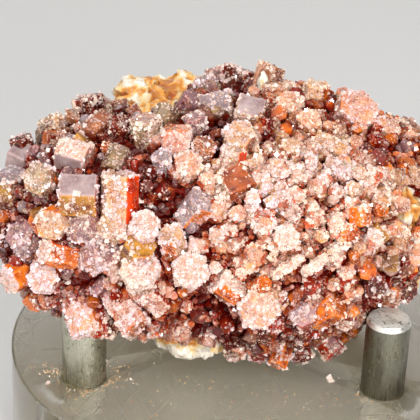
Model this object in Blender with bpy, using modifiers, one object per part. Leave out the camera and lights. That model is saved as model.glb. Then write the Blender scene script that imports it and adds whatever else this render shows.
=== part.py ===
"""Vanadinite specimen resting on three steel pins in a clear round base.

Metres, +Z up.  The origin is the centre of the base's underside, +X runs to
the right and +Y away from the specimen's front.
"""
import math
import random

import bmesh
import bpy
from mathutils import Matrix, Vector, noise
from mathutils.bvhtree import BVHTree

MM = 0.001
GAP = 0.3 * MM                     # clearance between neighbouring pieces

# Clear round base
BASE_RADIUS = 31.75 * MM
BASE_THICKNESS = 15.0 * MM
BASE_EDGE = 0.4 * MM

# Steel dowel pins
PIN_RADIUS = 3.0 * MM
PIN_ABOVE_BASE = 11.2 * MM
PIN_IN_BASE = 8.8 * MM
PIN_CHAMFER_IN = 0.25 * MM
PIN_CHAMFER_DOWN = 0.65 * MM
PIN_CIRCLE = 23.6 * MM
PIN_ANGLES = {"pin_left": 210.0, "pin_right": 330.0, "pin_back": 90.0}

# Facets, and the cutters' spare length
BASE_SIDES = 64
ROUND_SIDES = 20                   # sides of the pins, their holes and the room round them
CUTTER_OVERRUN = 1.0 * MM          # how far a cutter runs past the face that it cuts through
SLAB_WIDTH = 90.0 * MM             # slab that trims the specimen just above the base
SLAB_HEIGHT = 10.0 * MM

# Lump that the crystals cover: x, middle y, middle height over the base, half depth, half height
LUMP_LEFT = -32.5 * MM
LUMP_RIGHT = 30.0 * MM
LUMP_STATIONS = (
    (-33.0, -3.5, 19.0, 10.0, 12.0),
    (-24.0, -1.5, 19.0, 15.5, 14.5),
    (-15.0, 2.5, 18.5, 19.0, 15.2),
    (-5.0, 5.0, 17.8, 21.0, 15.8),
    (5.0, 5.5, 17.4, 21.5, 16.0),
    (14.0, 6.0, 17.2, 20.5, 15.5),
    (22.0, 5.5, 18.5, 16.5, 13.5),
    (31.0, 5.0, 19.0, 11.0, 12.0),
)
END_FULLNESS = 2.6                 # power of the lump's outline seen from above
SECTION_FULLNESS = 2.4             # power of its cross-section
REAR_RISE = 0.3                    # how far the underside rises towards the back pin
BED_ROUGHNESS = 0.7 * MM
COARSE_WAVES = 0.16                # waves of unevenness per millimetre
FINE_WAVES = 0.37
BED_SEED = 11.0

# Host rock: the lump moved back, so the crystals lie over its front and its back is bare
ROCK_SHIFT_BACK = 2.4 * MM
ROCK_LESS_DEPTH = 1.2 * MM
ROCK_LESS_HEIGHT = 2.4 * MM
ROCK_LESS_LENGTH = 3.0 * MM
ROCK_ROUGHNESS = 0.9 * MM
ROCK_SEED = 41.0
ROCK_ROOM = 0.36 * MM              # clearance between the crystals and the rock

# Sightline that the specimen is laid out along: the eye looks down on the base's top
EYE_ELEVATION = math.radians(27.3)
EYE_DISTANCE = 225.0 * MM
EYE_ROLL = math.radians(2.21)
FOCAL_PIXELS = 1564.0
PICTURE_MIDDLE = 210.0
BASE_TOP_PIXEL = (233.6, 336.5)
PAST_THE_EDGE = 0.6                # how far a crystal that misses the lump stays out on its sightline

# Lobes of rock that show between the crystals: middle (x, y, height over the base) and radii
ROCK_LOBES = (
    ((-13.6, 16.5, 29.2), (5.2, 5.0, 4.2)),
    ((-8.9, 18.0, 30.2), (2.9, 4.0, 3.4)),
    ((-5.7, 15.5, 30.8), (2.0, 4.0, 3.4)),
    ((2.6, 14.5, 33.2), (1.2, 2.6, 2.6)),
    ((-5.7, -8.2, 5.7), (5.6, 5.2, 3.1)),
    ((21.6, -3.2, 23.2), (3.2, 3.4, 3.6)),
    ((22.5, -1.5, 12.4), (3.4, 4.0, 4.0)),
)
LOBE_UNEVENNESS = 0.16             # share of a lobe's radius
LOBE_WAVES = 2.1
LOBE_MARGIN = 1.35                 # how many radii round a lobe stay free of filling crystals

# Large crystals: pixel of the middle, width over the corners, length, axis (right, up, to the eye),
# turn in degrees (0 puts an edge to the eye, 30 a flat) and how far the middle stands out, in
# millimetres
LARGE_CRYSTALS = (
    ((12, 190), 5.6, 4.6, (-0.10, 0.85, 0.50), 0, 0.8),
    ((22, 158), 5.2, 3.6, (0.88, -0.42, 0.25), 0, 0.3),
    ((17, 142), 3.6, 3.2, (-0.30, 0.90, 0.30), 0, 0.2),
    ((49, 156), 2.8, 2.6, (0.20, 0.85, 0.45), 20, 0.6),
    ((75, 157), 4.8, 4.2, (0.90, -0.25, 0.30), 6, 0.6),
    ((45, 182), 5.0, 4.6, (-0.35, 0.20, 0.90), 10, 0.8),
    ((80, 196), 6.8, 4.8, (1.00, -0.03, 0.06), 0, 0.6),
    ((120, 198), 5.6, 6.2, (0.04, 1.00, 0.18), 22, 0.8),
    ((60, 253), 4.4, 4.6, (-0.82, 0.22, 0.50), 30, 1.0),
    ((25, 241), 4.6, 4.2, (-0.25, 0.50, 0.80), 20, 0.8),
    ((7, 236), 4.0, 4.0, (-0.60, 0.20, 0.60), 0, 0.2),
    ((24, 271), 4.6, 4.8, (-0.75, -0.45, 0.45), 12, 0.8),
    ((36, 298), 3.4, 3.4, (-0.40, -0.60, 0.60), 0, 0.6),
    ((46, 278), 4.4, 3.8, (-0.10, 0.10, 1.00), 25, 0.8),
    ((57, 221), 4.6, 4.4, (-0.40, -0.25, 0.88), 20, 0.6),
    ((84, 228), 4.0, 3.6, (0.80, 0.10, 0.55), 10, 0.6),
    ((116, 228), 4.4, 3.8, (0.70, 0.20, 0.65), 20, 0.6),
    ((99, 254), 4.8, 4.2, (0.55, 0.35, 0.75), 0, 0.6),
    ((80, 308), 4.6, 7.2, (0.30, -0.93, 0.20), 15, 1.0),
    ((102, 316), 3.8, 5.4, (-0.05, 1.00, 0.10), 20, 0.4),
    ((124, 308), 4.6, 6.6, (0.52, -0.80, 0.32), 4, 1.0),
    ((140, 272), 5.4, 4.4, (-0.05, 0.30, 0.95), 25, 0.8),
    ((137, 250), 4.6, 4.0, (0.30, 0.40, 0.85), 10, 0.6),
    ((144, 230), 4.2, 3.6, (0.10, 0.45, 0.90), 0, 0.8),
    ((152, 296), 4.4, 4.0, (-0.55, 0.55, 0.62), 18, 0.8),
    ((178, 145), 6.0, 3.5, (0.98, 0.02, 0.10), 22, 0.2),
    ((147, 136), 4.4, 5.0, (-0.05, 0.90, 0.42), 12, 0.8),
    ((162, 166), 3.0, 4.2, (0.10, 0.60, 0.75), 0, 0.6),
    ((186, 170), 4.2, 3.8, (0.20, 0.45, 0.85), 28, 0.6),
    ((195, 210), 4.6, 4.0, (0.55, 0.60, 0.55), 10, 0.6),
    ((201, 155), 3.6, 4.2, (0.30, 0.70, 0.60), 0, 0.4),
    ((233, 188), 7.6, 3.4, (0.50, -0.80, 0.30), 12, -0.4),
    ((233, 162), 3.6, 3.8, (0.10, 0.92, 0.40), 25, 0.6),
    ((242, 142), 4.8, 4.6, (-0.15, 0.50, 0.85), 5, 0.6),
    ((251, 115), 6.2, 3.7, (0.95, -0.22, 0.12), 4, 0.3),
    ((218, 110), 6.0, 4.2, (0.96, 0.18, 0.15), 4, 0.0),
    ((198, 130), 3.4, 4.4, (-0.25, 0.80, 0.50), 0, 0.4),
    ((277, 91), 6.6, 2.2, (0.05, 0.96, 0.25), 14, 0.4),
    ((288, 110), 4.2, 4.0, (0.15, 0.60, 0.80), 0, 0.6),
    ((314, 101), 4.0, 5.0, (0.15, 0.90, 0.40), 20, 0.6),
    ((353, 118), 6.4, 5.4, (0.25, 0.50, 0.85), 12, 0.8),
    ((344, 97), 2.8, 2.8, (0.10, 0.85, 0.50), 0, 0.4),
    ((307, 127), 3.6, 3.6, (0.20, 0.60, 0.75), 25, 0.6),
    ((331, 147), 2.8, 4.8, (0.85, -0.48, 0.20), 15, 1.0),
    ((404, 133), 3.8, 3.8, (0.50, 0.70, 0.40), 0, 0.4),
    ((384, 133), 4.0, 3.8, (0.30, 0.60, 0.70), 20, 0.6),
    ((360, 214), 3.6, 2.6, (0.00, 0.96, 0.28), 0, 0.8),
    ((286, 240), 3.8, 3.2, (0.05, 0.20, 0.98), 0, 0.8),
    ((286, 266), 5.0, 0.9, (-0.55, 0.83, 0.10), 10, 0.8),
    ((313, 265), 4.4, 0.9, (-0.50, 0.86, 0.10), 20, 0.8),
    ((191, 271), 5.0, 4.2, (0.05, 0.15, 1.00), 12, 0.8),
    ((173, 243), 3.8, 4.2, (-0.20, 0.60, 0.80), 0, 0.6),
    ((258, 307), 5.8, 4.8, (0.00, -0.05, 1.00), 22, 1.0),
    ((227, 287), 4.0, 4.0, (-0.70, 0.50, 0.50), 8, 0.6),
    ((325, 310), 4.6, 4.2, (0.70, 0.45, 0.55), 25, 0.6),
    ((304, 316), 4.4, 4.0, (-0.15, 0.30, 0.95), 28, 0.4),
    ((343, 279), 3.4, 3.2, (0.20, 0.60, 0.75), 0, 0.4),
    ((311, 287), 3.2, 3.6, (0.10, 0.50, 0.85), 12, 0.4),
    ((371, 285), 3.6, 3.8, (0.30, -0.20, 0.90), 20, 0.2),
    ((400, 287), 3.8, 4.0, (0.60, -0.30, 0.75), 5, 0.2),
    ((386, 297), 4.6, 4.4, (0.30, 0.80, 0.50), 12, 0.6),
    ((283, 357), 3.2, 4.4, (-0.35, -0.85, 0.30), 0, 0.6),
    ((300, 348), 3.6, 4.2, (0.10, -0.80, 0.55), 18, 0.2),
    ((327, 347), 3.8, 4.2, (0.60, -0.75, 0.30), 10, 0.4),
    ((236, 345), 3.4, 3.8, (-0.20, -0.80, 0.60), 25, 0.4),
    ((258, 345), 3.6, 4.0, (0.10, -0.80, 0.55), 0, 0.4),
    ((91, 111), 5.0, 4.8, (-0.25, 0.90, 0.20), 10, 1.8),
    ((52, 127), 3.8, 3.8, (-0.40, 0.85, 0.20), 22, 0.8),
    ((76, 125), 3.8, 3.8, (0.10, 0.80, 0.50), 5, 0.4),
    ((86, 143), 4.4, 1.0, (0.62, 0.78, 0.20), 0, 0.6),
    ((120, 133), 3.8, 3.8, (0.30, 0.60, 0.60), 15, -0.2),
    ((222, 80), 4.8, 4.6, (-0.20, 0.95, 0.10), 8, 2.0),
    ((238, 82), 4.4, 4.4, (0.25, 0.90, 0.20), 24, 1.6),
    ((208, 92), 3.8, 4.2, (-0.35, 0.85, 0.30), 0, 0.8),
    ((267, 75), 4.6, 4.4, (0.35, 0.90, 0.10), 15, 1.4),
)

# Filling crystals between the large ones
FILL_TRIES = 396
FILL_SEED = 23
FILL_LEAN = 1.0                    # how far their axes lean from the surface's own direction
FILL_SPACING = 0.62                # share of two widths that two crystals keep apart
FILL_LEAST_SPACE = 0.6 * MM
FILL_LENGTH = (0.85, 1.2)          # length as a share of the width
FILL_STANDS_OUT = 0.10             # share of the width that the middle stands out
FILL_WIDTH_LEFT = (3.0, 4.3)       # millimetres, on the coarse left half
FILL_WIDTH_RIGHT = (2.2, 3.2)      # on the finer right half
FINE_FROM = -6.0 * MM              # where the finer half starts
BARE_BACK = 0.55                   # how squarely a spot faces backwards before it is bare rock
BARE_UNDERSIDE = -0.75             # how squarely it faces down before it is left alone
PIN_CLEARANCE = 2.2 * MM           # room round the pins that fillers stay out of
END_ON = 0.98                      # cosine above which an axis counts as pointing at the eye


def clear_scene():
    for obj in list(bpy.data.objects):
        bpy.data.objects.remove(obj, do_unlink=True)


def new_collection(name):
    collection = bpy.data.collections.new(name)
    bpy.context.scene.collection.children.link(collection)
    return collection


def new_material(name, colour, roughness, metallic=0.0, transmission=0.0, ior=1.5):
    material = bpy.data.materials.new(name)
    material.use_nodes = True
    shader = material.node_tree.nodes["Principled BSDF"]
    shader.inputs["Base Color"].default_value = (*colour, 1.0)
    shader.inputs["Roughness"].default_value = roughness
    shader.inputs["Metallic"].default_value = metallic
    shader.inputs["Transmission Weight"].default_value = transmission
    shader.inputs["IOR"].default_value = ior
    material.diffuse_color = (*colour, 1.0)
    return material


def object_from_bmesh(name, bm, collection, material=None):
    mesh = bpy.data.meshes.new(name)
    bm.to_mesh(mesh)
    bm.free()
    obj = bpy.data.objects.new(name, mesh)
    collection.objects.link(obj)
    if material:
        mesh.materials.append(material)
    return obj


def boolean_mesh(obj, other, operation, overlapping=False):
    """Apply one exact Boolean to obj and keep only the result."""
    modifier = obj.modifiers.new("boolean", "BOOLEAN")
    modifier.operation = operation
    modifier.solver = "EXACT"
    modifier.use_self = overlapping
    modifier.object = other
    graph = bpy.context.evaluated_depsgraph_get()
    mesh = bpy.data.meshes.new_from_object(obj.evaluated_get(graph))
    obj.modifiers.remove(modifier)
    old = obj.data
    obj.data = mesh
    bpy.data.meshes.remove(old)


def keep_largest_body(obj):
    """Drop loose chips and fill pockets that are sealed inside the solid."""
    bm = bmesh.new()
    bm.from_mesh(obj.data)
    unseen = set(bm.faces)
    bodies = []
    while unseen:
        body = []
        stack = [unseen.pop()]
        while stack:
            face = stack.pop()
            body.append(face)
            for edge in face.edges:
                for neighbour in edge.link_faces:
                    if neighbour in unseen:
                        unseen.remove(neighbour)
                        stack.append(neighbour)
        bodies.append(body)
    bodies.sort(key=len, reverse=True)
    for body in bodies[1:]:
        bmesh.ops.delete(bm, geom=body, context="FACES")
    loose = [v for v in bm.verts if not v.link_faces]
    bmesh.ops.delete(bm, geom=loose, context="VERTS")
    bm.to_mesh(obj.data)
    bm.free()


def station_values(x):
    """Middle y, middle z, half depth and half height of the lump at x."""
    x_mm = x / MM
    stations = LUMP_STATIONS
    if x_mm <= stations[0][0]:
        row = stations[0][1:]
        return [value * MM for value in row]
    for near, far in zip(stations, stations[1:]):
        if x_mm <= far[0]:
            share = (x_mm - near[0]) / (far[0] - near[0])
            share = share * share * (3.0 - 2.0 * share)
            return [(a + (b - a) * share) * MM for a, b in zip(near[1:], far[1:])]
    return [value * MM for value in stations[-1][1:]]


def lump_point(direction, shift=0.0, less_depth=0.0, less_height=0.0, less_length=0.0):
    """Point of the lump's surface that a unit direction from its middle stands for."""
    along = max(-1.0, min(1.0, direction.x))
    middle = (LUMP_LEFT + LUMP_RIGHT) / 2
    half = (LUMP_RIGHT - LUMP_LEFT) / 2 - less_length
    x = middle + along * half
    mid_y, mid_z, depth, height = station_values(x)
    ring = (1.0 - abs(along) ** END_FULLNESS) ** (1.0 / END_FULLNESS)
    angle = math.atan2(direction.z, direction.y)
    cosine, sine = math.cos(angle), math.sin(angle)
    full = abs(cosine) ** SECTION_FULLNESS + abs(sine) ** SECTION_FULLNESS
    full = full ** (-1.0 / SECTION_FULLNESS)
    if cosine > 0.0 and sine < 0.0:
        sine *= 1.0 - REAR_RISE * cosine
    y = mid_y + shift + (depth - less_depth) * ring * full * cosine
    z = mid_z + (height - less_height) * ring * full * sine
    return Vector((x, y, z + BASE_THICKNESS))


def lump_mesh(subdivisions, roughness, seed, **inset):
    """Icosphere drawn out to the lump's form, roughened along its normals."""
    bm = bmesh.new()
    bmesh.ops.create_icosphere(bm, subdivisions=subdivisions, radius=1.0)
    for vert in bm.verts:
        vert.co = lump_point(vert.co.normalized(), **inset)
    bm.normal_update()
    offset = Vector((seed, 0.0, 0.0))
    moves = {}
    for vert in bm.verts:
        spot = vert.co / MM
        coarse = noise.noise(spot * COARSE_WAVES + offset)
        fine = noise.noise(spot * FINE_WAVES - offset)
        moves[vert] = vert.normal * (coarse + 0.5 * fine) * roughness
    for vert, move in moves.items():
        vert.co += move
    bm.normal_update()
    return bm


def view_axes():
    """Directions to the right, up and towards the eye, as they are seen."""
    right = Vector((1.0, 0.0, 0.0))
    up = Vector((0.0, math.sin(EYE_ELEVATION), math.cos(EYE_ELEVATION)))
    to_eye = Vector((0.0, -math.cos(EYE_ELEVATION), math.sin(EYE_ELEVATION)))
    turn = Matrix.Rotation(EYE_ROLL, 3, to_eye)
    return turn @ right, turn @ up, to_eye


def sightline(pixel):
    """Eye position and direction of the sightline through a pixel."""
    right, up, to_eye = view_axes()
    shift_x = (BASE_TOP_PIXEL[0] - PICTURE_MIDDLE) / FOCAL_PIXELS * EYE_DISTANCE
    shift_y = (PICTURE_MIDDLE - BASE_TOP_PIXEL[1]) / FOCAL_PIXELS * EYE_DISTANCE
    base_top = Vector((0.0, 0.0, BASE_THICKNESS))
    eye = base_top + to_eye * EYE_DISTANCE - right * shift_x - up * shift_y
    across = (pixel[0] - PICTURE_MIDDLE) / FOCAL_PIXELS
    rise = (PICTURE_MIDDLE - pixel[1]) / FOCAL_PIXELS
    return eye, (right * across + up * rise - to_eye).normalized()


def seat(lump_tree, pixel):
    """Where a sightline meets the lump, or passes it closest, and the sightline's direction."""
    eye, direction = sightline(pixel)
    hit = lump_tree.ray_cast(eye, direction)[0]
    if hit:
        return hit, direction
    passes = []
    for step in range(-20, 40):
        spot = eye + direction * (EYE_DISTANCE + step * MM)
        near, _, _, distance = lump_tree.find_nearest(spot)
        passes.append((distance, near.lerp(spot, PAST_THE_EDGE)))
    return min(passes, key=lambda entry: entry[0])[1], direction


def hexagon_prism(bm, centre, axis, facing, width, length, turn):
    """One six-sided crystal with flat ends, an edge towards facing when turn is 0."""
    across = axis.cross(facing).normalized() * -1.0
    place = Matrix((across, axis.cross(across), axis)).transposed().to_4x4()
    spin = Matrix.Rotation(math.radians(turn), 4, "Z")
    bmesh.ops.create_cone(
        bm,
        cap_ends=True,
        segments=6,
        radius1=width / 2,
        radius2=width / 2,
        depth=length,
        matrix=Matrix.Translation(centre) @ place @ spin,
    )


def large_crystals(bm, lump_tree):
    """Place the crystals that stand out, and return where they are."""
    right, up, to_eye = view_axes()
    places = []
    for pixel, width, length, lean, turn, proud in LARGE_CRYSTALS:
        spot, direction = seat(lump_tree, pixel)
        axis = (right * lean[0] + up * lean[1] + to_eye * lean[2]).normalized()
        centre = spot - direction * proud * MM
        facing = to_eye if abs(axis.dot(to_eye)) < END_ON else up
        hexagon_prism(bm, centre, axis, facing, width * MM, length * MM, turn)
        places.append((centre, width * MM))
    return places


def spread_directions(count):
    """Directions spread evenly over a sphere, by the golden angle."""
    golden = math.pi * (3.0 - math.sqrt(5.0))
    for index in range(count):
        z = 1.0 - 2.0 * (index + 0.5) / count
        radius = math.sqrt(1.0 - z * z)
        yield Vector((math.cos(index * golden) * radius, math.sin(index * golden) * radius, z))


def pin_point(angle, height):
    """Point on the axis of the pin at an angle, at a height."""
    turn = math.radians(angle)
    return Vector((PIN_CIRCLE * math.cos(turn), PIN_CIRCLE * math.sin(turn), height))


def on_a_lobe(spot):
    """Whether a spot lies where rock shows instead of crystals."""
    for middle, radii in ROCK_LOBES:
        away = (spot - Vector((0.0, 0.0, BASE_THICKNESS))) / MM - Vector(middle)
        if Vector([value / radius for value, radius in zip(away, radii)]).length < LOBE_MARGIN:
            return True
    return False


def by_a_pin(spot):
    """Whether a spot is beside the top of a pin."""
    if spot.z > BASE_THICKNESS + PIN_ABOVE_BASE + PIN_CLEARANCE:
        return False
    aside = [(spot - pin_point(angle, spot.z)).length for angle in PIN_ANGLES.values()]
    return min(aside) < PIN_RADIUS + PIN_CLEARANCE


def is_covered(spot, normal, index):
    """Whether a filling crystal belongs here; the fine right-hand front takes twice as many."""
    fine_front = spot.x > FINE_FROM and normal.y < 0.0
    if index % 2 and not fine_front:
        return False
    bare = normal.y > BARE_BACK or normal.z < BARE_UNDERSIDE
    return not (bare or on_a_lobe(spot) or by_a_pin(spot))


def filling_crystals(bm, lump_tree, places):
    """Cover what is left of the front, top and ends with smaller crystals."""
    generator = random.Random(FILL_SEED)
    for index, direction in enumerate(spread_directions(FILL_TRIES)):
        spot, normal, _, _ = lump_tree.find_nearest(lump_point(direction))
        lean = Vector([generator.uniform(-FILL_LEAN, FILL_LEAN) for _ in range(3)])
        turn = generator.uniform(0.0, 60.0)
        share = generator.random()
        length_share = generator.uniform(*FILL_LENGTH)
        low, high = FILL_WIDTH_LEFT if spot.x < FINE_FROM else FILL_WIDTH_RIGHT
        width = (low + (high - low) * share) * MM
        if not is_covered(spot, normal, index):
            continue
        if any((spot - other).length < FILL_SPACING * (width + size) / 2 + FILL_LEAST_SPACE
               for other, size in places):
            continue
        axis = (normal + lean).normalized()
        centre = spot + normal * FILL_STANDS_OUT * width
        facing = axis.orthogonal()
        hexagon_prism(bm, centre, axis, facing, width, width * length_share, turn)
        places.append((centre, width))


def pin_columns(low, high):
    """Three upright cylinders between two heights, one gap wider than the pins."""
    bm = bmesh.new()
    for angle in PIN_ANGLES.values():
        bmesh.ops.create_cone(
            bm,
            cap_ends=True,
            segments=ROUND_SIDES,
            radius1=PIN_RADIUS + GAP,
            radius2=PIN_RADIUS + GAP,
            depth=high - low,
            matrix=Matrix.Translation(pin_point(angle, (low + high) / 2)),
        )
    return bm


def base_slab():
    """Slab that keeps the specimen just clear of the base's top."""
    bm = bmesh.new()
    middle = Vector((0.0, 0.0, BASE_THICKNESS + GAP - SLAB_HEIGHT / 2))
    size = Matrix.Diagonal((SLAB_WIDTH, SLAB_WIDTH, SLAB_HEIGHT, 1.0))
    bmesh.ops.create_cube(bm, size=1.0, matrix=Matrix.Translation(middle) @ size)
    return bm


def as_cutter(obj):
    obj.hide_render = True
    obj.display_type = "WIRE"
    return obj


def rock_body(name, collection, material=None, grow=0.0):
    """Host rock with the lobes that show between the crystals, grown by a distance."""
    inset = {
        "shift": ROCK_SHIFT_BACK,
        "less_depth": ROCK_LESS_DEPTH - grow,
        "less_height": ROCK_LESS_HEIGHT - grow,
        "less_length": ROCK_LESS_LENGTH - grow,
    }
    body = lump_mesh(3, ROCK_ROUGHNESS, ROCK_SEED, **inset)
    rock = object_from_bmesh(name, body, collection, material)
    for index, (middle, radii) in enumerate(ROCK_LOBES):
        bm = bmesh.new()
        bmesh.ops.create_icosphere(bm, subdivisions=2, radius=1.0)
        offset = Vector((index * 7.0, 3.0, 0.0))
        for vert in bm.verts:
            bump = 1.0 + LOBE_UNEVENNESS * noise.noise(vert.co * LOBE_WAVES + offset)
            size = [radius * MM + grow for radius in radii]
            vert.co = Vector([value * bump * reach for value, reach in zip(vert.co, size)])
        place = Matrix.Translation(Vector(middle) * MM + Vector((0.0, 0.0, BASE_THICKNESS)))
        bmesh.ops.transform(bm, matrix=place, verts=bm.verts[:])
        lobe = object_from_bmesh("lobe", bm, collection)
        boolean_mesh(rock, lobe, "UNION")
        bpy.data.objects.remove(lobe, do_unlink=True)
    return rock


def crystal_crust(collection, cutters, lump_tree, material):
    """Crystals grown together over a bed, as one solid round the host rock."""
    bed = lump_mesh(3, BED_ROUGHNESS, BED_SEED)
    crust = object_from_bmesh("vanadinite_crystals", bed, collection, material)
    bm = bmesh.new()
    places = large_crystals(bm, lump_tree)
    filling_crystals(bm, lump_tree, places)
    grown = object_from_bmesh("grown", bm, collection)
    boolean_mesh(crust, grown, "UNION", overlapping=True)
    bpy.data.objects.remove(grown, do_unlink=True)
    keep_largest_body(crust)
    room = as_cutter(rock_body("rock_room", cutters, grow=ROCK_ROOM))
    boolean_mesh(crust, room, "DIFFERENCE")
    return crust


def base_disc(collection, cutters, material):
    """Clear base with three blind holes for the pins."""
    bm = bmesh.new()
    bmesh.ops.create_cone(
        bm,
        cap_ends=True,
        segments=BASE_SIDES,
        radius1=BASE_RADIUS,
        radius2=BASE_RADIUS,
        depth=BASE_THICKNESS,
        matrix=Matrix.Translation((0.0, 0.0, BASE_THICKNESS / 2)),
    )
    rims = [edge for edge in bm.edges if any(len(face.verts) > 4 for face in edge.link_faces)]
    bmesh.ops.bevel(bm, geom=rims, offset=BASE_EDGE, segments=1, affect="EDGES")
    base = object_from_bmesh("stand_base", bm, collection, material)
    floor = BASE_THICKNESS - PIN_IN_BASE - GAP
    columns = pin_columns(floor, BASE_THICKNESS + CUTTER_OVERRUN)
    holes = as_cutter(object_from_bmesh("pin_holes", columns, cutters))
    boolean_mesh(base, holes, "DIFFERENCE")
    return base


def dowel_pin(name, angle, collection, material):
    """Turned steel pin: half its outline, screwed round its axis."""
    top = PIN_ABOVE_BASE
    bottom = -PIN_IN_BASE
    profile = (
        (0.0, top),
        (PIN_RADIUS - PIN_CHAMFER_IN, top),
        (PIN_RADIUS, top - PIN_CHAMFER_DOWN),
        (PIN_RADIUS, bottom + PIN_CHAMFER_DOWN),
        (PIN_RADIUS - PIN_CHAMFER_IN, bottom),
        (0.0, bottom),
    )
    bm = bmesh.new()
    verts = [bm.verts.new((x, 0.0, z)) for x, z in profile]
    for near, far in zip(verts, verts[1:]):
        bm.edges.new((near, far))
    pin = object_from_bmesh(name, bm, collection, material)
    screw = pin.modifiers.new("turned", "SCREW")
    screw.steps = ROUND_SIDES
    screw.render_steps = ROUND_SIDES
    screw.use_merge_vertices = True
    screw.merge_threshold = 0.01 * MM
    screw.use_smooth_shade = False
    pin.location = pin_point(angle, BASE_THICKNESS)
    return pin


def main():
    clear_scene()
    parts = new_collection("vanadinite_on_stand")
    cutters = new_collection("cutters")
    clear_plastic = new_material("clear_plastic", (0.86, 0.86, 0.82), 0.06, 0.0, 1.0, 1.49)
    steel = new_material("steel", (0.52, 0.52, 0.48), 0.32, 1.0)
    pale_rock = new_material("pale_rock", (0.80, 0.66, 0.42), 0.85)
    red_crystal = new_material("red_crystal", (0.62, 0.20, 0.12), 0.30)

    base_disc(parts, cutters, clear_plastic)
    for name, angle in PIN_ANGLES.items():
        dowel_pin(name, angle, parts, steel)

    lump_tree = BVHTree.FromBMesh(lump_mesh(4, 0.0, 0.0))
    rock = rock_body("host_rock", parts, pale_rock)
    crust = crystal_crust(parts, cutters, lump_tree, red_crystal)

    pin_tops = BASE_THICKNESS + PIN_ABOVE_BASE + GAP
    columns = pin_columns(BASE_THICKNESS - CUTTER_OVERRUN, pin_tops)
    pin_room = as_cutter(object_from_bmesh("pin_room", columns, cutters))
    base_room = as_cutter(object_from_bmesh("base_room", base_slab(), cutters))
    for specimen in (rock, crust):
        boolean_mesh(specimen, pin_room, "DIFFERENCE")
        boolean_mesh(specimen, base_room, "DIFFERENCE")
        keep_largest_body(specimen)


main()
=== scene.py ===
import math
import random

import bmesh
import bpy
import numpy as np
from mathutils import Matrix, Vector, noise
from mathutils.bvhtree import BVHTree


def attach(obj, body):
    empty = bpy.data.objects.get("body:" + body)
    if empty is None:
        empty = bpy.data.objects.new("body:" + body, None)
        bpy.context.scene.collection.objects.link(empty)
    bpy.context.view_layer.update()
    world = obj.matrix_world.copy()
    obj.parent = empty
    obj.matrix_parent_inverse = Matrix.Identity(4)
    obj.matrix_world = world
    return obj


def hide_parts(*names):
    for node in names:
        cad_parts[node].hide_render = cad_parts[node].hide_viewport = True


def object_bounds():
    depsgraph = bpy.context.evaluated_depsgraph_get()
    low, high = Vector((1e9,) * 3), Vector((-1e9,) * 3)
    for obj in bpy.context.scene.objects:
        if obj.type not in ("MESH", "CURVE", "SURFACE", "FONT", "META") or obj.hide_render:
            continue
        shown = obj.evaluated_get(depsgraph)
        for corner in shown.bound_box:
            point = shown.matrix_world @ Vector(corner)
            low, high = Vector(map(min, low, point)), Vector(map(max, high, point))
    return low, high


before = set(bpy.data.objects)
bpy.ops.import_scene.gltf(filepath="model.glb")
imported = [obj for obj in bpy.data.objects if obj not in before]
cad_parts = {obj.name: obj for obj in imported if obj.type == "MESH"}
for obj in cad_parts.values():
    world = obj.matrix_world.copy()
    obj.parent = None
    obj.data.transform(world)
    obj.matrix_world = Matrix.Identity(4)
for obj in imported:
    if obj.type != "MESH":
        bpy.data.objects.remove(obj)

# A vanadinite specimen on three steel pins in a clear round base. Lengths in the dictionaries
# are millimetres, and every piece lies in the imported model's own frame.

mm = 0.001
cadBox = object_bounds()
print("frame loaded:", ", ".join(sorted(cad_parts)))


# Sizes that the stand's pieces share

base = {
    "radius": 31.75,
    "thickness": 15.0,
    "edge": 0.4,
    "rimSides": 192,
    "holeSides": 64,
}

pins = {
    "radius": 3.0,
    "aboveBase": 11.2,
    "inBase": 8.8,
    "chamferIn": 0.25,
    "chamferDown": 0.65,
    "circle": 23.6,
    "angles": {"pin_left": 210.0, "pin_right": 330.0, "pin_back": 90.0},
    "gap": 0.3,
    "sides": 96,
}


# Camera, and the sightlines that the large crystals are placed along

eye = {
    "elevation": 27.3,               # degrees, down on the base's top
    "distance": 225.0,
    "roll": 2.21,
    "focalPixels": 1564.0,
    "middlePixel": 210.0,
    "baseTopPixel": (233.6, 336.5),  # where the middle of the base's top is seen
    "sensor": 36.0,
    "frameWidth": 420.0,
}


def viewAxes():
    elevation = math.radians(eye["elevation"])
    right = Vector((1, 0, 0))
    up = Vector((0, math.sin(elevation), math.cos(elevation)))
    toEye = Vector((0, -math.cos(elevation), math.sin(elevation)))
    roll = Matrix.Rotation(math.radians(eye["roll"]), 3, toEye)
    return roll @ right, roll @ up, toEye


def eyePoint():
    right, up, toEye = viewAxes()
    scale = eye["distance"] * mm / eye["focalPixels"]
    across = (eye["baseTopPixel"][0] - eye["middlePixel"]) * scale
    rise = (eye["middlePixel"] - eye["baseTopPixel"][1]) * scale
    baseTop = Vector((0, 0, base["thickness"] * mm))
    return baseTop + toEye * eye["distance"] * mm - right * across - up * rise


def sightline(pixel):
    right, up, toEye = viewAxes()
    across = (pixel[0] - eye["middlePixel"]) / eye["focalPixels"]
    rise = (eye["middlePixel"] - pixel[1]) / eye["focalPixels"]
    return eyePoint(), (right * across + up * rise - toEye).normalized()


def pixelsOf(points):
    right, up, toEye = (np.array(axis) for axis in viewAxes())
    away = np.asarray(points) - np.array(eyePoint())
    depth = -(away @ toEye)
    across = eye["middlePixel"] + away @ right / depth * eye["focalPixels"]
    down = eye["middlePixel"] - away @ up / depth * eye["focalPixels"]
    return np.stack((across, down), axis=-1)


def makeCamera():
    right, up, toEye = viewAxes()
    data = bpy.data.cameras.new("camera")
    data.sensor_width = eye["sensor"]
    data.lens = eye["focalPixels"] / eye["frameWidth"] * eye["sensor"]
    data.clip_start = 0.01
    data.clip_end = 20.0
    camera = bpy.data.objects.new("camera", data)
    place = Matrix((right, up, toEye)).transposed().to_4x4()
    place.translation = eyePoint()
    camera.matrix_world = place
    bpy.context.scene.collection.objects.link(camera)
    bpy.context.scene.camera = camera


makeCamera()
print("camera placed")


# Small helpers for materials

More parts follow.
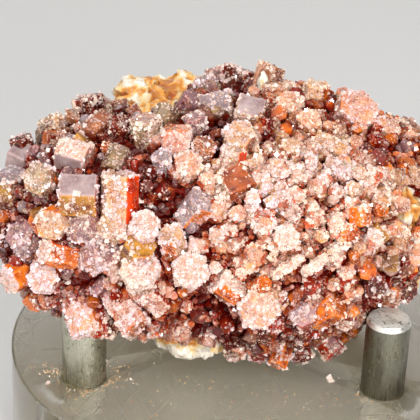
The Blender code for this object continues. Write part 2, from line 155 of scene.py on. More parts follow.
def paint(hexCode):
    shares = [int(hexCode[i:i + 2], 16) / 255 for i in (1, 3, 5)]
    return [((s + 0.055) / 1.055) ** 2.4 if s > 0.04045 else s / 12.92 for s in shares]


def addNode(tree, kind, **values):
    node = tree.nodes.new(kind)
    for name, value in values.items():
        setattr(node, name, value)
    return node


def plug(tree, source, target):
    tree.links.new(source, target)


def mixColour(tree, share, first, second, blend="MIX"):
    node = addNode(tree, "ShaderNodeMix", data_type="RGBA", blend_type=blend)
    for socket, value in ((node.inputs[0], share), (node.inputs[6], first), (node.inputs[7], second)):
        feed(tree, socket, value)
    return node.outputs[2]


def doMath(tree, operation, first, second=0.0, third=0.0, clamp=False):
    node = addNode(tree, "ShaderNodeMath", operation=operation, use_clamp=clamp)
    for socket, value in zip(node.inputs, (first, second, third)):
        feed(tree, socket, value)
    return node.outputs[0]


def feed(tree, socket, value):
    if isinstance(value, bpy.types.NodeSocket):
        tree.links.new(value, socket)
    elif socket.type == "RGBA":
        socket.default_value = (value, value, value, 1.0) if isinstance(value, float) else (*value, 1.0)
    else:
        socket.default_value = value


def remap(tree, value, low, high, toLow=0.0, toHigh=1.0):
    node = addNode(tree, "ShaderNodeMapRange", clamp=True)
    for socket, entry in zip(node.inputs, (value, low, high, toLow, toHigh)):
        feed(tree, socket, entry)
    return node.outputs[0]


def noiseMask(tree, place, scale, detail=4.0, rough=0.55):
    node = addNode(tree, "ShaderNodeTexNoise")
    tree.links.new(place, node.inputs["Vector"])
    node.inputs["Scale"].default_value = scale
    node.inputs["Detail"].default_value = detail
    node.inputs["Roughness"].default_value = rough
    return node.outputs["Fac"]


def newMaterial(name):
    material = bpy.data.materials.new(name)
    material.use_nodes = True
    tree = material.node_tree
    shader = tree.nodes["Principled BSDF"]
    place = addNode(tree, "ShaderNodeTexCoord").outputs["Object"]
    return material, tree, shader, place


def readAttribute(tree, name, output="Fac"):
    return addNode(tree, "ShaderNodeAttribute", attribute_name=name).outputs[output]


def bumpFrom(tree, height, strength, distance, normal=None):
    node = addNode(tree, "ShaderNodeBump")
    feed(tree, node.inputs["Height"], height)
    node.inputs["Strength"].default_value = strength
    node.inputs["Distance"].default_value = distance
    if normal:
        tree.links.new(normal, node.inputs["Normal"])
    return node.outputs["Normal"]


# Sugar: tiny crystals that coat most faces, as a group that the crystals, the bed and the rock use

def makeSugarGroup():
    group = bpy.data.node_groups.new("sugarCoat", "ShaderNodeTree")
    for name, kind, start in (
        ("Place", "NodeSocketVector", None),
        ("Grains per metre", "NodeSocketFloat", 3600.0),
        ("Cover", "NodeSocketFloat", 0.5),
    ):
        socket = group.interface.new_socket(name, in_out="INPUT", socket_type=kind)
        if start is not None:
            socket.default_value = start
    for name in ("Mask", "Shade", "Height"):
        group.interface.new_socket(name, in_out="OUTPUT", socket_type="NodeSocketFloat")
    source = addNode(group, "NodeGroupInput")
    result = addNode(group, "NodeGroupOutput")
    cells = addNode(group, "ShaderNodeTexVoronoi", feature="F1")
    edges = addNode(group, "ShaderNodeTexVoronoi", feature="DISTANCE_TO_EDGE")
    for node in (cells, edges):
        plug(group, source.outputs["Place"], node.inputs["Vector"])
        plug(group, source.outputs["Grains per metre"], node.inputs["Scale"])
    parts = addNode(group, "ShaderNodeSeparateColor")
    plug(group, cells.outputs["Color"], parts.inputs[0])
    patches = noiseMask(group, source.outputs["Place"], 420.0, 3.0)
    reach = doMath(group, "ADD", doMath(group, "MULTIPLY", patches, 0.8), parts.outputs[0])
    need = remap(group, source.outputs["Cover"], 0.0, 1.0, 1.75, 0.05)
    mask = remap(group, doMath(group, "SUBTRACT", reach, need), 0.0, 0.08)
    dome = remap(group, edges.outputs["Distance"], 0.0, 0.18)
    plug(group, mask, result.inputs["Mask"])
    plug(group, parts.outputs[1], result.inputs["Shade"])
    plug(group, doMath(group, "MULTIPLY", mask, dome), result.inputs["Height"])
    return group


sugarGroup = makeSugarGroup()


def useSugar(tree, place, grains, cover):
    node = addNode(tree, "ShaderNodeGroup", node_tree=sugarGroup)
    plug(tree, place, node.inputs["Place"])
    node.inputs["Grains per metre"].default_value = grains
    feed(tree, node.inputs["Cover"], cover)
    return node.outputs


# Crystal finishes: what the body looks like, how frosted it is (frost also mixes in a grey-lilac painted
# reflection), how much sugar sits on it

finishes = {
    # The grey-lilac of satin and lilac is painted reflection of the light above; the large crystals' table sets
    # them on many top faces
    "satinSheen": ("#a5918c", 0.90, 0.16),
    "lilacSheen": ("#918288", 0.70, 0.48),
    "amber": ("#ac7c2e", 0.03, 0.46),
    "orange": ("#d8701c", 0.02, 0.42),
    "scarlet": ("#e4440c", 0.00, 0.22),
    "red": ("#922208", 0.00, 0.40),
    "maroon": ("#62180e", 0.00, 0.44),
    "brown": ("#96562a", 0.12, 0.52),
    "tea": ("#a8562a", 0.10, 0.30),
    "sugar": ("#b8603c", 0.10, 0.78),
    "peach": ("#da8c56", 0.10, 0.82),
    "cream": ("#c48c44", 0.10, 0.78),
    "white": ("#e2b098", 0.20, 1.00),
    "mauve": ("#845458", 0.40, 0.60),
    "olive": ("#84683a", 0.25, 0.68),
}

crystalLook = {
    # Recesses and gaps are painted shade: dark red, with an orange painted glow where the faces are sugary
    "paintedShadeRed": "#520c04",       # painted shade of a deep place
    "paintedShadeOwnShare": 0.5,            # share of the crystal's own colour in it
    "paintedShadeTint": "#c4502c",
    "paintedSugaryGlow": "#f08a48",
    "frostSheenTint": "#a9979c",
    "sugarPale": "#f6e4dc",
    "sugarWarm": "#d88c58",
    "paintedRimGlowTint": "#3a1408",
    "paintedRimGlowGain": 1.5,
    "paintedRimGlowShare": 0.5,
    "dustTint": "#f2dcd4",
    "dustMost": 0.3,
    "clearRough": 0.16,
    "frostRough": 0.52,
    "index": 1.5,
    "grainsPerMetre": 4300.0,
    "rippleScale": 900.0,
    "cracksPerMetre": 620.0,
    "cracksMost": 0.3,
    "glow": 0.30,
    "glowDepth": 0.0010,
}


def makeCrystalMaterial():
    material, tree, shader, place = newMaterial("vanadinite")
    look = crystalLook
    tint = readAttribute(tree, "tint", "Color")
    frost = readAttribute(tree, "frost")
    sugar = readAttribute(tree, "sugar")
    height = readAttribute(tree, "height")
    cloud = noiseMask(tree, place, 480.0, 5.0, 0.6)
    veins = noiseMask(tree, place, 1500.0, 3.0)
    lively = mixColour(tree, remap(tree, cloud, 0.35, 0.65), mixColour(tree, 1.0, tint, 1.35, "MULTIPLY"),
                       mixColour(tree, 1.0, tint, paint("#96402c"), "MULTIPLY"))
    crack = addNode(tree, "ShaderNodeTexVoronoi", feature="DISTANCE_TO_EDGE")
    crack.inputs["Scale"].default_value = look["cracksPerMetre"]
    bend = addNode(tree, "ShaderNodeVectorMath", operation="MULTIPLY_ADD")
    bendNoise = addNode(tree, "ShaderNodeTexNoise")
    bendNoise.inputs["Scale"].default_value = look["rippleScale"]
    plug(tree, place, bendNoise.inputs["Vector"])
    plug(tree, bendNoise.outputs["Color"], bend.inputs[0])
    bend.inputs[1].default_value = (0.0008, 0.0008, 0.0008)
    plug(tree, place, bend.inputs[2])
    plug(tree, bend.outputs[0], crack.inputs["Vector"])
    line = remap(tree, crack.outputs["Distance"], 0.0, 0.05, look["cracksMost"], 0.0)
    line = doMath(tree, "MULTIPLY", line, remap(tree, cloud, 0.45, 0.6))
    lively = mixColour(tree, line, lively, mixColour(tree, 0.5, tint, paint("#ffdcb0")))
    # deep: painted shade in recesses and gaps, from the height over the lump, plus dark red veins at random
    deep = remap(tree, height, -0.7, 0.95, 1.0, 0.0)
    deep = doMath(tree, "ADD", deep, remap(tree, veins, 0.62, 0.8, 0.0, 0.35), clamp=True)
    # Lighter rims along the crystals' edges: painted glow of light coming through the thin edges
    rim = mixColour(tree, 1.0, mixColour(tree, 1.0, tint, look["paintedRimGlowGain"], "MULTIPLY"),
                    paint(look["paintedRimGlowTint"]), "ADD")
    lively = mixColour(tree, doMath(tree, "MULTIPLY", readAttribute(tree, "edge"), look["paintedRimGlowShare"]), lively, rim)
    paintedGapShadeAndGlow = mixColour(tree, look["paintedShadeOwnShare"], paint(look["paintedShadeRed"]),
                      mixColour(tree, 1.0, tint, paint(look["paintedShadeTint"]), "MULTIPLY"))
    paintedGapShadeAndGlow = mixColour(tree, remap(tree, sugar, 0.6, 0.9), paintedGapShadeAndGlow,
                      mixColour(tree, 1.0, tint, paint(look["paintedSugaryGlow"]), "MULTIPLY"))
    body = mixColour(tree, deep, lively, paintedGapShadeAndGlow)
    # Frost mixes in a grey-lilac painted reflection of the light above, less in recesses; its roughness is the
    # real frost
    frostSheenShare = doMath(tree, "MULTIPLY", frost, remap(tree, cloud, 0.25, 0.6, 0.55, 1.0))
    frostSheenShare = doMath(tree, "MULTIPLY", frostSheenShare, remap(tree, deep, 0.2, 1.0, 1.0, 0.1))
    body = mixColour(tree, doMath(tree, "MULTIPLY", frostSheenShare, 0.4), body, paint(look["frostSheenTint"]))
    coat = useSugar(tree, place, look["grainsPerMetre"], doMath(tree, "MULTIPLY", sugar, 0.75))
    grain = mixColour(tree, coat["Shade"], paint(look["sugarWarm"]), paint(look["sugarPale"]))
    grain = mixColour(tree, remap(tree, height, -1.0, 0.6, 0.75, 0.0), grain, body)
    dusty = doMath(tree, "MULTIPLY", remap(tree, height, -0.1, 1.5, 0.0, look["dustMost"]),
                   remap(tree, sugar, 0.45, 0.8))
    dusty = doMath(tree, "MULTIPLY", dusty, remap(tree, noiseMask(tree, place, 700.0, 4.0), 0.4, 0.62))
    body = mixColour(tree, dusty, body, paint(look["dustTint"]))
    colour = mixColour(tree, doMath(tree, "MULTIPLY", coat["Mask"], 0.6), body, grain)
    rough = remap(tree, frostSheenShare, 0.0, 1.0, look["clearRough"], look["frostRough"])
    rough = doMath(tree, "ADD", rough, doMath(tree, "MULTIPLY", coat["Mask"], 0.12))
    ripple = noiseMask(tree, place, look["rippleScale"], 4.0)
    normal = bumpFrom(tree, ripple, 0.25, 0.00012)
    normal = bumpFrom(tree, coat["Height"], 0.7, 0.00010, normal)
    plug(tree, colour, shader.inputs["Base Color"])
    plug(tree, rough, shader.inputs["Roughness"])
    plug(tree, normal, shader.inputs["Normal"])
    shader.inputs["IOR"].default_value = look["index"]
    shader.inputs["Subsurface Weight"].default_value = look["glow"]
    shader.inputs["Subsurface Radius"].default_value = (1.0, 0.30, 0.10)
    shader.inputs["Subsurface Scale"].default_value = look["glowDepth"]
    return material


sugarLook = {"index": 1.7, "speckleScale": 5200.0, "seeThrough": 0.1}


def makeSugarMaterial():
    material, tree, shader, place = newMaterial("sugarGrain")
    tint = readAttribute(tree, "tint", "Color")
    speckle = noiseMask(tree, place, sugarLook["speckleScale"], 2.0)
    shaded = mixColour(tree, 1.0, tint, paint("#e9c2ae"), "MULTIPLY")
    colour = mixColour(tree, remap(tree, speckle, 0.4, 0.65), tint, shaded)
    plug(tree, colour, shader.inputs["Base Color"])
    plug(tree, remap(tree, speckle, 0.3, 0.7, 0.06, 0.2), shader.inputs["Roughness"])
    shader.inputs["IOR"].default_value = sugarLook["index"]
    shader.inputs["Transmission Weight"].default_value = sugarLook["seeThrough"]
    return material


crystalMaterial = makeCrystalMaterial()
sugarMaterial = makeSugarMaterial()
print("crystal materials made")


# The lump that the crystals cover, drawn as stations along X

lump = {
    "left": -32.5,
    "right": 30.0,
    # x, middle y, middle height over the base, half depth, half height
    "stations": (
        (-33.0, -3.5, 19.0, 10.0, 12.0),
        (-24.0, -1.5, 19.0, 15.5, 14.5),
        (-15.0, 2.5, 18.5, 19.0, 15.2),
        (-5.0, 5.0, 17.8, 21.0, 15.8),
        (5.0, 5.5, 17.4, 21.5, 16.0),
        (14.0, 6.0, 17.2, 20.5, 15.5),
        (22.0, 5.5, 18.5, 16.5, 13.5),
        (31.0, 5.0, 19.0, 11.0, 12.0),
    ),
    "endFullness": 2.6,
    "sectionFullness": 2.4,
    "rearRise": 0.3,
}


def stationValues(x):
    stations = lump["stations"]
    if x <= stations[0][0]:
        return stations[0][1:]
    for near, far in zip(stations, stations[1:]):
        if x <= far[0]:
            share = (x - near[0]) / (far[0] - near[0])
            share = share * share * (3.0 - 2.0 * share)
            return [a + (b - a) * share for a, b in zip(near[1:], far[1:])]
    return stations[-1][1:]


def lumpPoint(direction, back=0.0, lessDepth=0.0, lessHeight=0.0, lessLength=0.0):
    along = max(-1.0, min(1.0, direction.x))
    middle = (lump["left"] + lump["right"]) / 2
    half = (lump["right"] - lump["left"]) / 2 - lessLength
    x = middle + along * half
    midY, midZ, depth, height = stationValues(x)
    ring = (1.0 - abs(along) ** lump["endFullness"]) ** (1.0 / lump["endFullness"])
    angle = math.atan2(direction.z, direction.y)
    cosine, sine = math.cos(angle), math.sin(angle)
    power = lump["sectionFullness"]
    full = (abs(cosine) ** power + abs(sine) ** power) ** (-1.0 / power)
    if cosine > 0 and sine < 0:
        sine *= 1.0 - lump["rearRise"] * cosine
    y = midY + back + (depth - lessDepth) * ring * full * cosine
    z = midZ + (height - lessHeight) * ring * full * sine + base["thickness"]
    return Vector((x, y, z)) * mm


def lumpMesh(subdivisions, **inset):
    bm = bmesh.new()
    bmesh.ops.create_icosphere(bm, subdivisions=subdivisions, radius=1.0)
    for vert in bm.verts:
        vert.co = lumpPoint(vert.co.normalized(), **inset)
    bm.normal_update()
    return bm


lumpTree = BVHTree.FromBMesh(lumpMesh(4))


def seat(pixel):
    start, direction = sightline(pixel)
    hit = lumpTree.ray_cast(start, direction)[0]
    if hit:
        return hit, direction
    passes = []
    for step in range(-20, 40):
        spot = start + direction * (eye["distance"] + step) * mm
        near, _, _, distance = lumpTree.find_nearest(spot)
        passes.append((distance, near.lerp(spot, 0.6)))
    return min(passes, key=lambda entry: entry[0])[1], direction


def keepOffStand(points):
    gap = pins["gap"] * mm
    room = pins["radius"] * mm + gap
    top = (base["thickness"] + pins["aboveBase"]) * mm + gap
    for angle in pins["angles"].values():
        turn = math.radians(angle)
        middle = np.array((math.cos(turn), math.sin(turn))) * pins["circle"] * mm
        away = points[:, :2] - middle
        reach = np.maximum(np.linalg.norm(away, axis=1), 1e-6)
        inside = (reach < room) & (points[:, 2] < top)
        lift = inside & (top - points[:, 2] < room - reach)
        push = inside & ~lift
        points[lift, 2] = top
        points[push, :2] = middle + away[push] / reach[push, None] * room
    points[:, 2] = np.maximum(points[:, 2], base["thickness"] * mm + gap)
    return points


# Mesh pieces from arrays of points, triangles and per-point values

class Heap:
    def __init__(self):
        self.points, self.triangles, self.values = [], [], []
        self.count = 0

    def add(self, points, triangles, **values):
        self.points.append(points)
        self.triangles.append(triangles + self.count)
        self.values.append(values)
        self.count += len(points)

    def joined(self):
        names = self.values[0].keys()
        values = {name: np.concatenate([entry[name] for entry in self.values]) for name in names}
        return np.concatenate(self.points), np.concatenate(self.triangles), values


def meshPiece(name, points, triangles, material, values, smoothAngle=None):
    mesh = bpy.data.meshes.new(name)
    mesh.vertices.add(len(points))
    mesh.vertices.foreach_set("co", points.astype(np.float32).ravel())
    mesh.loops.add(triangles.size)
    mesh.loops.foreach_set("vertex_index", triangles.astype(np.int32).ravel())
    mesh.polygons.add(len(triangles))
    mesh.polygons.foreach_set("loop_start", np.arange(0, triangles.size, 3, dtype=np.int32))
    mesh.update(calc_edges=True)
    mesh.shade_flat()
    if smoothAngle:
        mesh.shade_smooth()
        mesh.set_sharp_from_angle(angle=math.radians(smoothAngle))
    for key, value in values.items():
        if value.ndim == 2:
            layer = mesh.color_attributes.new(name=key, type="FLOAT_COLOR", domain="POINT")
            rgba = np.concatenate((value, np.ones((len(value), 1))), axis=1)
            layer.data.foreach_set("color", rgba.astype(np.float32).ravel())
        else:
            layer = mesh.attributes.new(name=key, type="FLOAT", domain="POINT")
            layer.data.foreach_set("value", value.astype(np.float32))
    mesh.materials.append(material)
    obj = bpy.data.objects.new(name, mesh)
    bpy.context.scene.collection.objects.link(obj)
    print(name, len(triangles), "triangles")
    return obj


def arraysOf(bm):
    bmesh.ops.triangulate(bm, faces=bm.faces[:])
    bm.verts.index_update()
    points = np.array([vert.co for vert in bm.verts])
    triangles = np.array([[vert.index for vert in face.verts] for face in bm.faces])
    return points, triangles


def heightsOver(points):
    heights = np.empty(len(points))
    for index, point in enumerate(points):
        near, normal, _, _ = lumpTree.find_nearest(Vector(point))
        heights[index] = (Vector(point) - near).dot(normal) / mm
    return heights


# Zones of the specimen, each round a pixel, with the finishes that its small crystals take

# A zone's bed colour is the bed's own colour with the painted shade of its gaps: dark red where crystals crowd,
# orange painted glow where the field is open
zones = (
    {"at": (40, 200), "reach": 55, "sugar": 0.5, "open": 0.0, "bed": "#7c2312", "tiny": 1.2,
     "cool": 0.7, "white": -0.06, "mix": {"mauve": 3, "sugar": 3, "amber": 2, "orange": 2, "brown": 2, "red": 2, "satinSheen": 1}},
    {"at": (80, 140), "reach": 45, "sugar": 0.55, "open": 0.0, "bed": "#6b2416", "tiny": 1.0,
     "cool": 0.3, "white": 0.0, "mix": {"sugar": 3, "olive": 2, "brown": 3, "maroon": 2, "lilacSheen": 1, "orange": 1}},
    {"at": (60, 280), "reach": 50, "sugar": 0.6, "open": 0.2, "bed": "#8c3320", "tiny": 1.3,
     "cool": 0.9, "white": 0.16, "mix": {"white": 2, "sugar": 4, "red": 2, "orange": 3, "mauve": 2}},
    {"at": (150, 210), "reach": 45, "sugar": 0.45, "open": 0.0, "bed": "#5c120a", "tiny": 1.6,
     "cool": 0.8, "white": 0.06, "mix": {"sugar": 3, "red": 2, "maroon": 3, "white": 2, "orange": 2, "lilacSheen": 1}},
    {"at": (150, 290), "reach": 45, "sugar": 0.75, "open": 0.2, "bed": "#9c3c24", "tiny": 1.4,
     "cool": 0.6, "white": 0.3, "mix": {"sugar": 4, "white": 2, "orange": 3, "red": 1}},
    {"at": (215, 110), "reach": 40, "sugar": 0.4, "open": 0.0, "bed": "#53160f", "tiny": 1.2,
     "cool": 0.5, "white": 0.0, "mix": {"maroon": 2, "mauve": 3, "olive": 2, "brown": 3, "sugar": 1}},
    {"at": (220, 300), "reach": 32, "sugar": 0.4, "open": 0.0, "bed": "#58120a", "tiny": 1.4,
     "cool": 0.5, "white": 0.2, "mix": {"maroon": 2, "red": 3, "sugar": 4}},
    {"at": (300, 115), "reach": 50, "sugar": 0.65, "open": 0.0, "bed": "#8c3018", "tiny": 1.2,
     "cool": 0.1, "white": -0.14, "mix": {"peach": 3, "cream": 2, "orange": 3, "red": 3, "brown": 1}},
    {"at": (380, 120), "reach": 45, "sugar": 0.6, "open": 0.0, "bed": "#842c16", "tiny": 1.2,
     "cool": 0.3, "white": -0.14, "mix": {"peach": 2, "orange": 3, "mauve": 1, "brown": 2, "red": 2}},
    {"at": (300, 195), "reach": 75, "sugar": 0.9, "open": 0.5, "bed": "#c04c24", "tiny": 2.2,
     "cool": 0.4, "white": 0.9, "mix": {"white": 6, "peach": 4, "sugar": 1, "cream": 3}},
    {"at": (380, 230), "reach": 45, "sugar": 0.8, "open": 0.4, "bed": "#c05426", "tiny": 1.8,
     "cool": 0.2, "white": 0.4, "mix": {"peach": 3, "white": 3, "orange": 2, "cream": 3, "amber": 1}},
    {"at": (250, 260), "reach": 45, "sugar": 0.8, "open": 0.4, "bed": "#b44420", "tiny": 1.8,
     "cool": 0.4, "white": 0.36, "mix": {"peach": 4, "white": 3, "orange": 3, "red": 1, "cream": 2}},
    {"at": (320, 300), "reach": 45, "sugar": 0.7, "open": 0.3, "bed": "#a8462a", "tiny": 1.6,
     "cool": 0.4, "white": 0.45, "mix": {"peach": 3, "orange": 3, "red": 2, "sugar": 2}},
    {"at": (390, 290), "reach": 35, "sugar": 0.55, "open": 0.0, "bed": "#541409", "tiny": 1.4,
     "cool": 0.7, "white": 0.2, "mix": {"maroon": 3, "brown": 2, "white": 1, "red": 3, "orange": 1}},
    {"at": (290, 350), "reach": 45, "sugar": 0.55, "open": 0.0, "bed": "#5c160c", "tiny": 1.4,
     "cool": 0.5, "white": 0.2, "mix": {"maroon": 2, "brown": 2, "red": 3, "orange": 2, "sugar": 3}},
)


bareRock = {
    # pixel of the middle, half sizes in pixels, and from where to where along Y
    "spots": (
        ((146, 93), (38, 20), (3.0, 40.0)),
        ((414, 204), (15, 19), (-14.0, 5.0)),
        ((414, 313), (10, 13), (-14.0, 5.0)),
        ((188, 344), (32, 8), (-22.0, -2.0)),
    ),
    "reach": 1.25,
    "fade": 0.3,
    "sink": 3.2,                 # how far the bed drops there, below the rock
    "swell": 1.5,                # and how far the rock rises between its lobes
}


def bareShare(points):
    pixels = pixelsOf(points)
    depths = np.asarray(points)[:, 1] / mm
    share = np.zeros(len(pixels))
    for middle, sizes, (near, far) in bareRock["spots"]:
        away = np.linalg.norm((pixels - np.array(middle)) / np.array(sizes), axis=1)
        inside = np.clip((bareRock["reach"] - away) / bareRock["fade"], 0.0, 1.0)
        share = np.maximum(share, inside * (depths > near) * (depths < far))
    return share


def zoneOf(points):
    pixels = pixelsOf(points)
    middles = np.array([zone["at"] for zone in zones], float)
    reaches = np.array([zone["reach"] for zone in zones], float)
    nearness = np.linalg.norm(pixels[:, None] - middles, axis=2) / reaches
    return nearness.argmin(axis=1)


# Height over the lump, raised in open zones; among other things it sets how much painted shade a place gets
def reliefOf(points):
    opened = np.array([zone["open"] for zone in zones])
    return heightsOver(points) + opened[zoneOf(points)]


# Large crystals: pixel of the middle, width over the corners, length, axis (right, up, to the
# eye), turn in degrees (0 puts an edge to the eye, 30 a flat), how far the middle stands out,
# and the finish, with the faces that differ

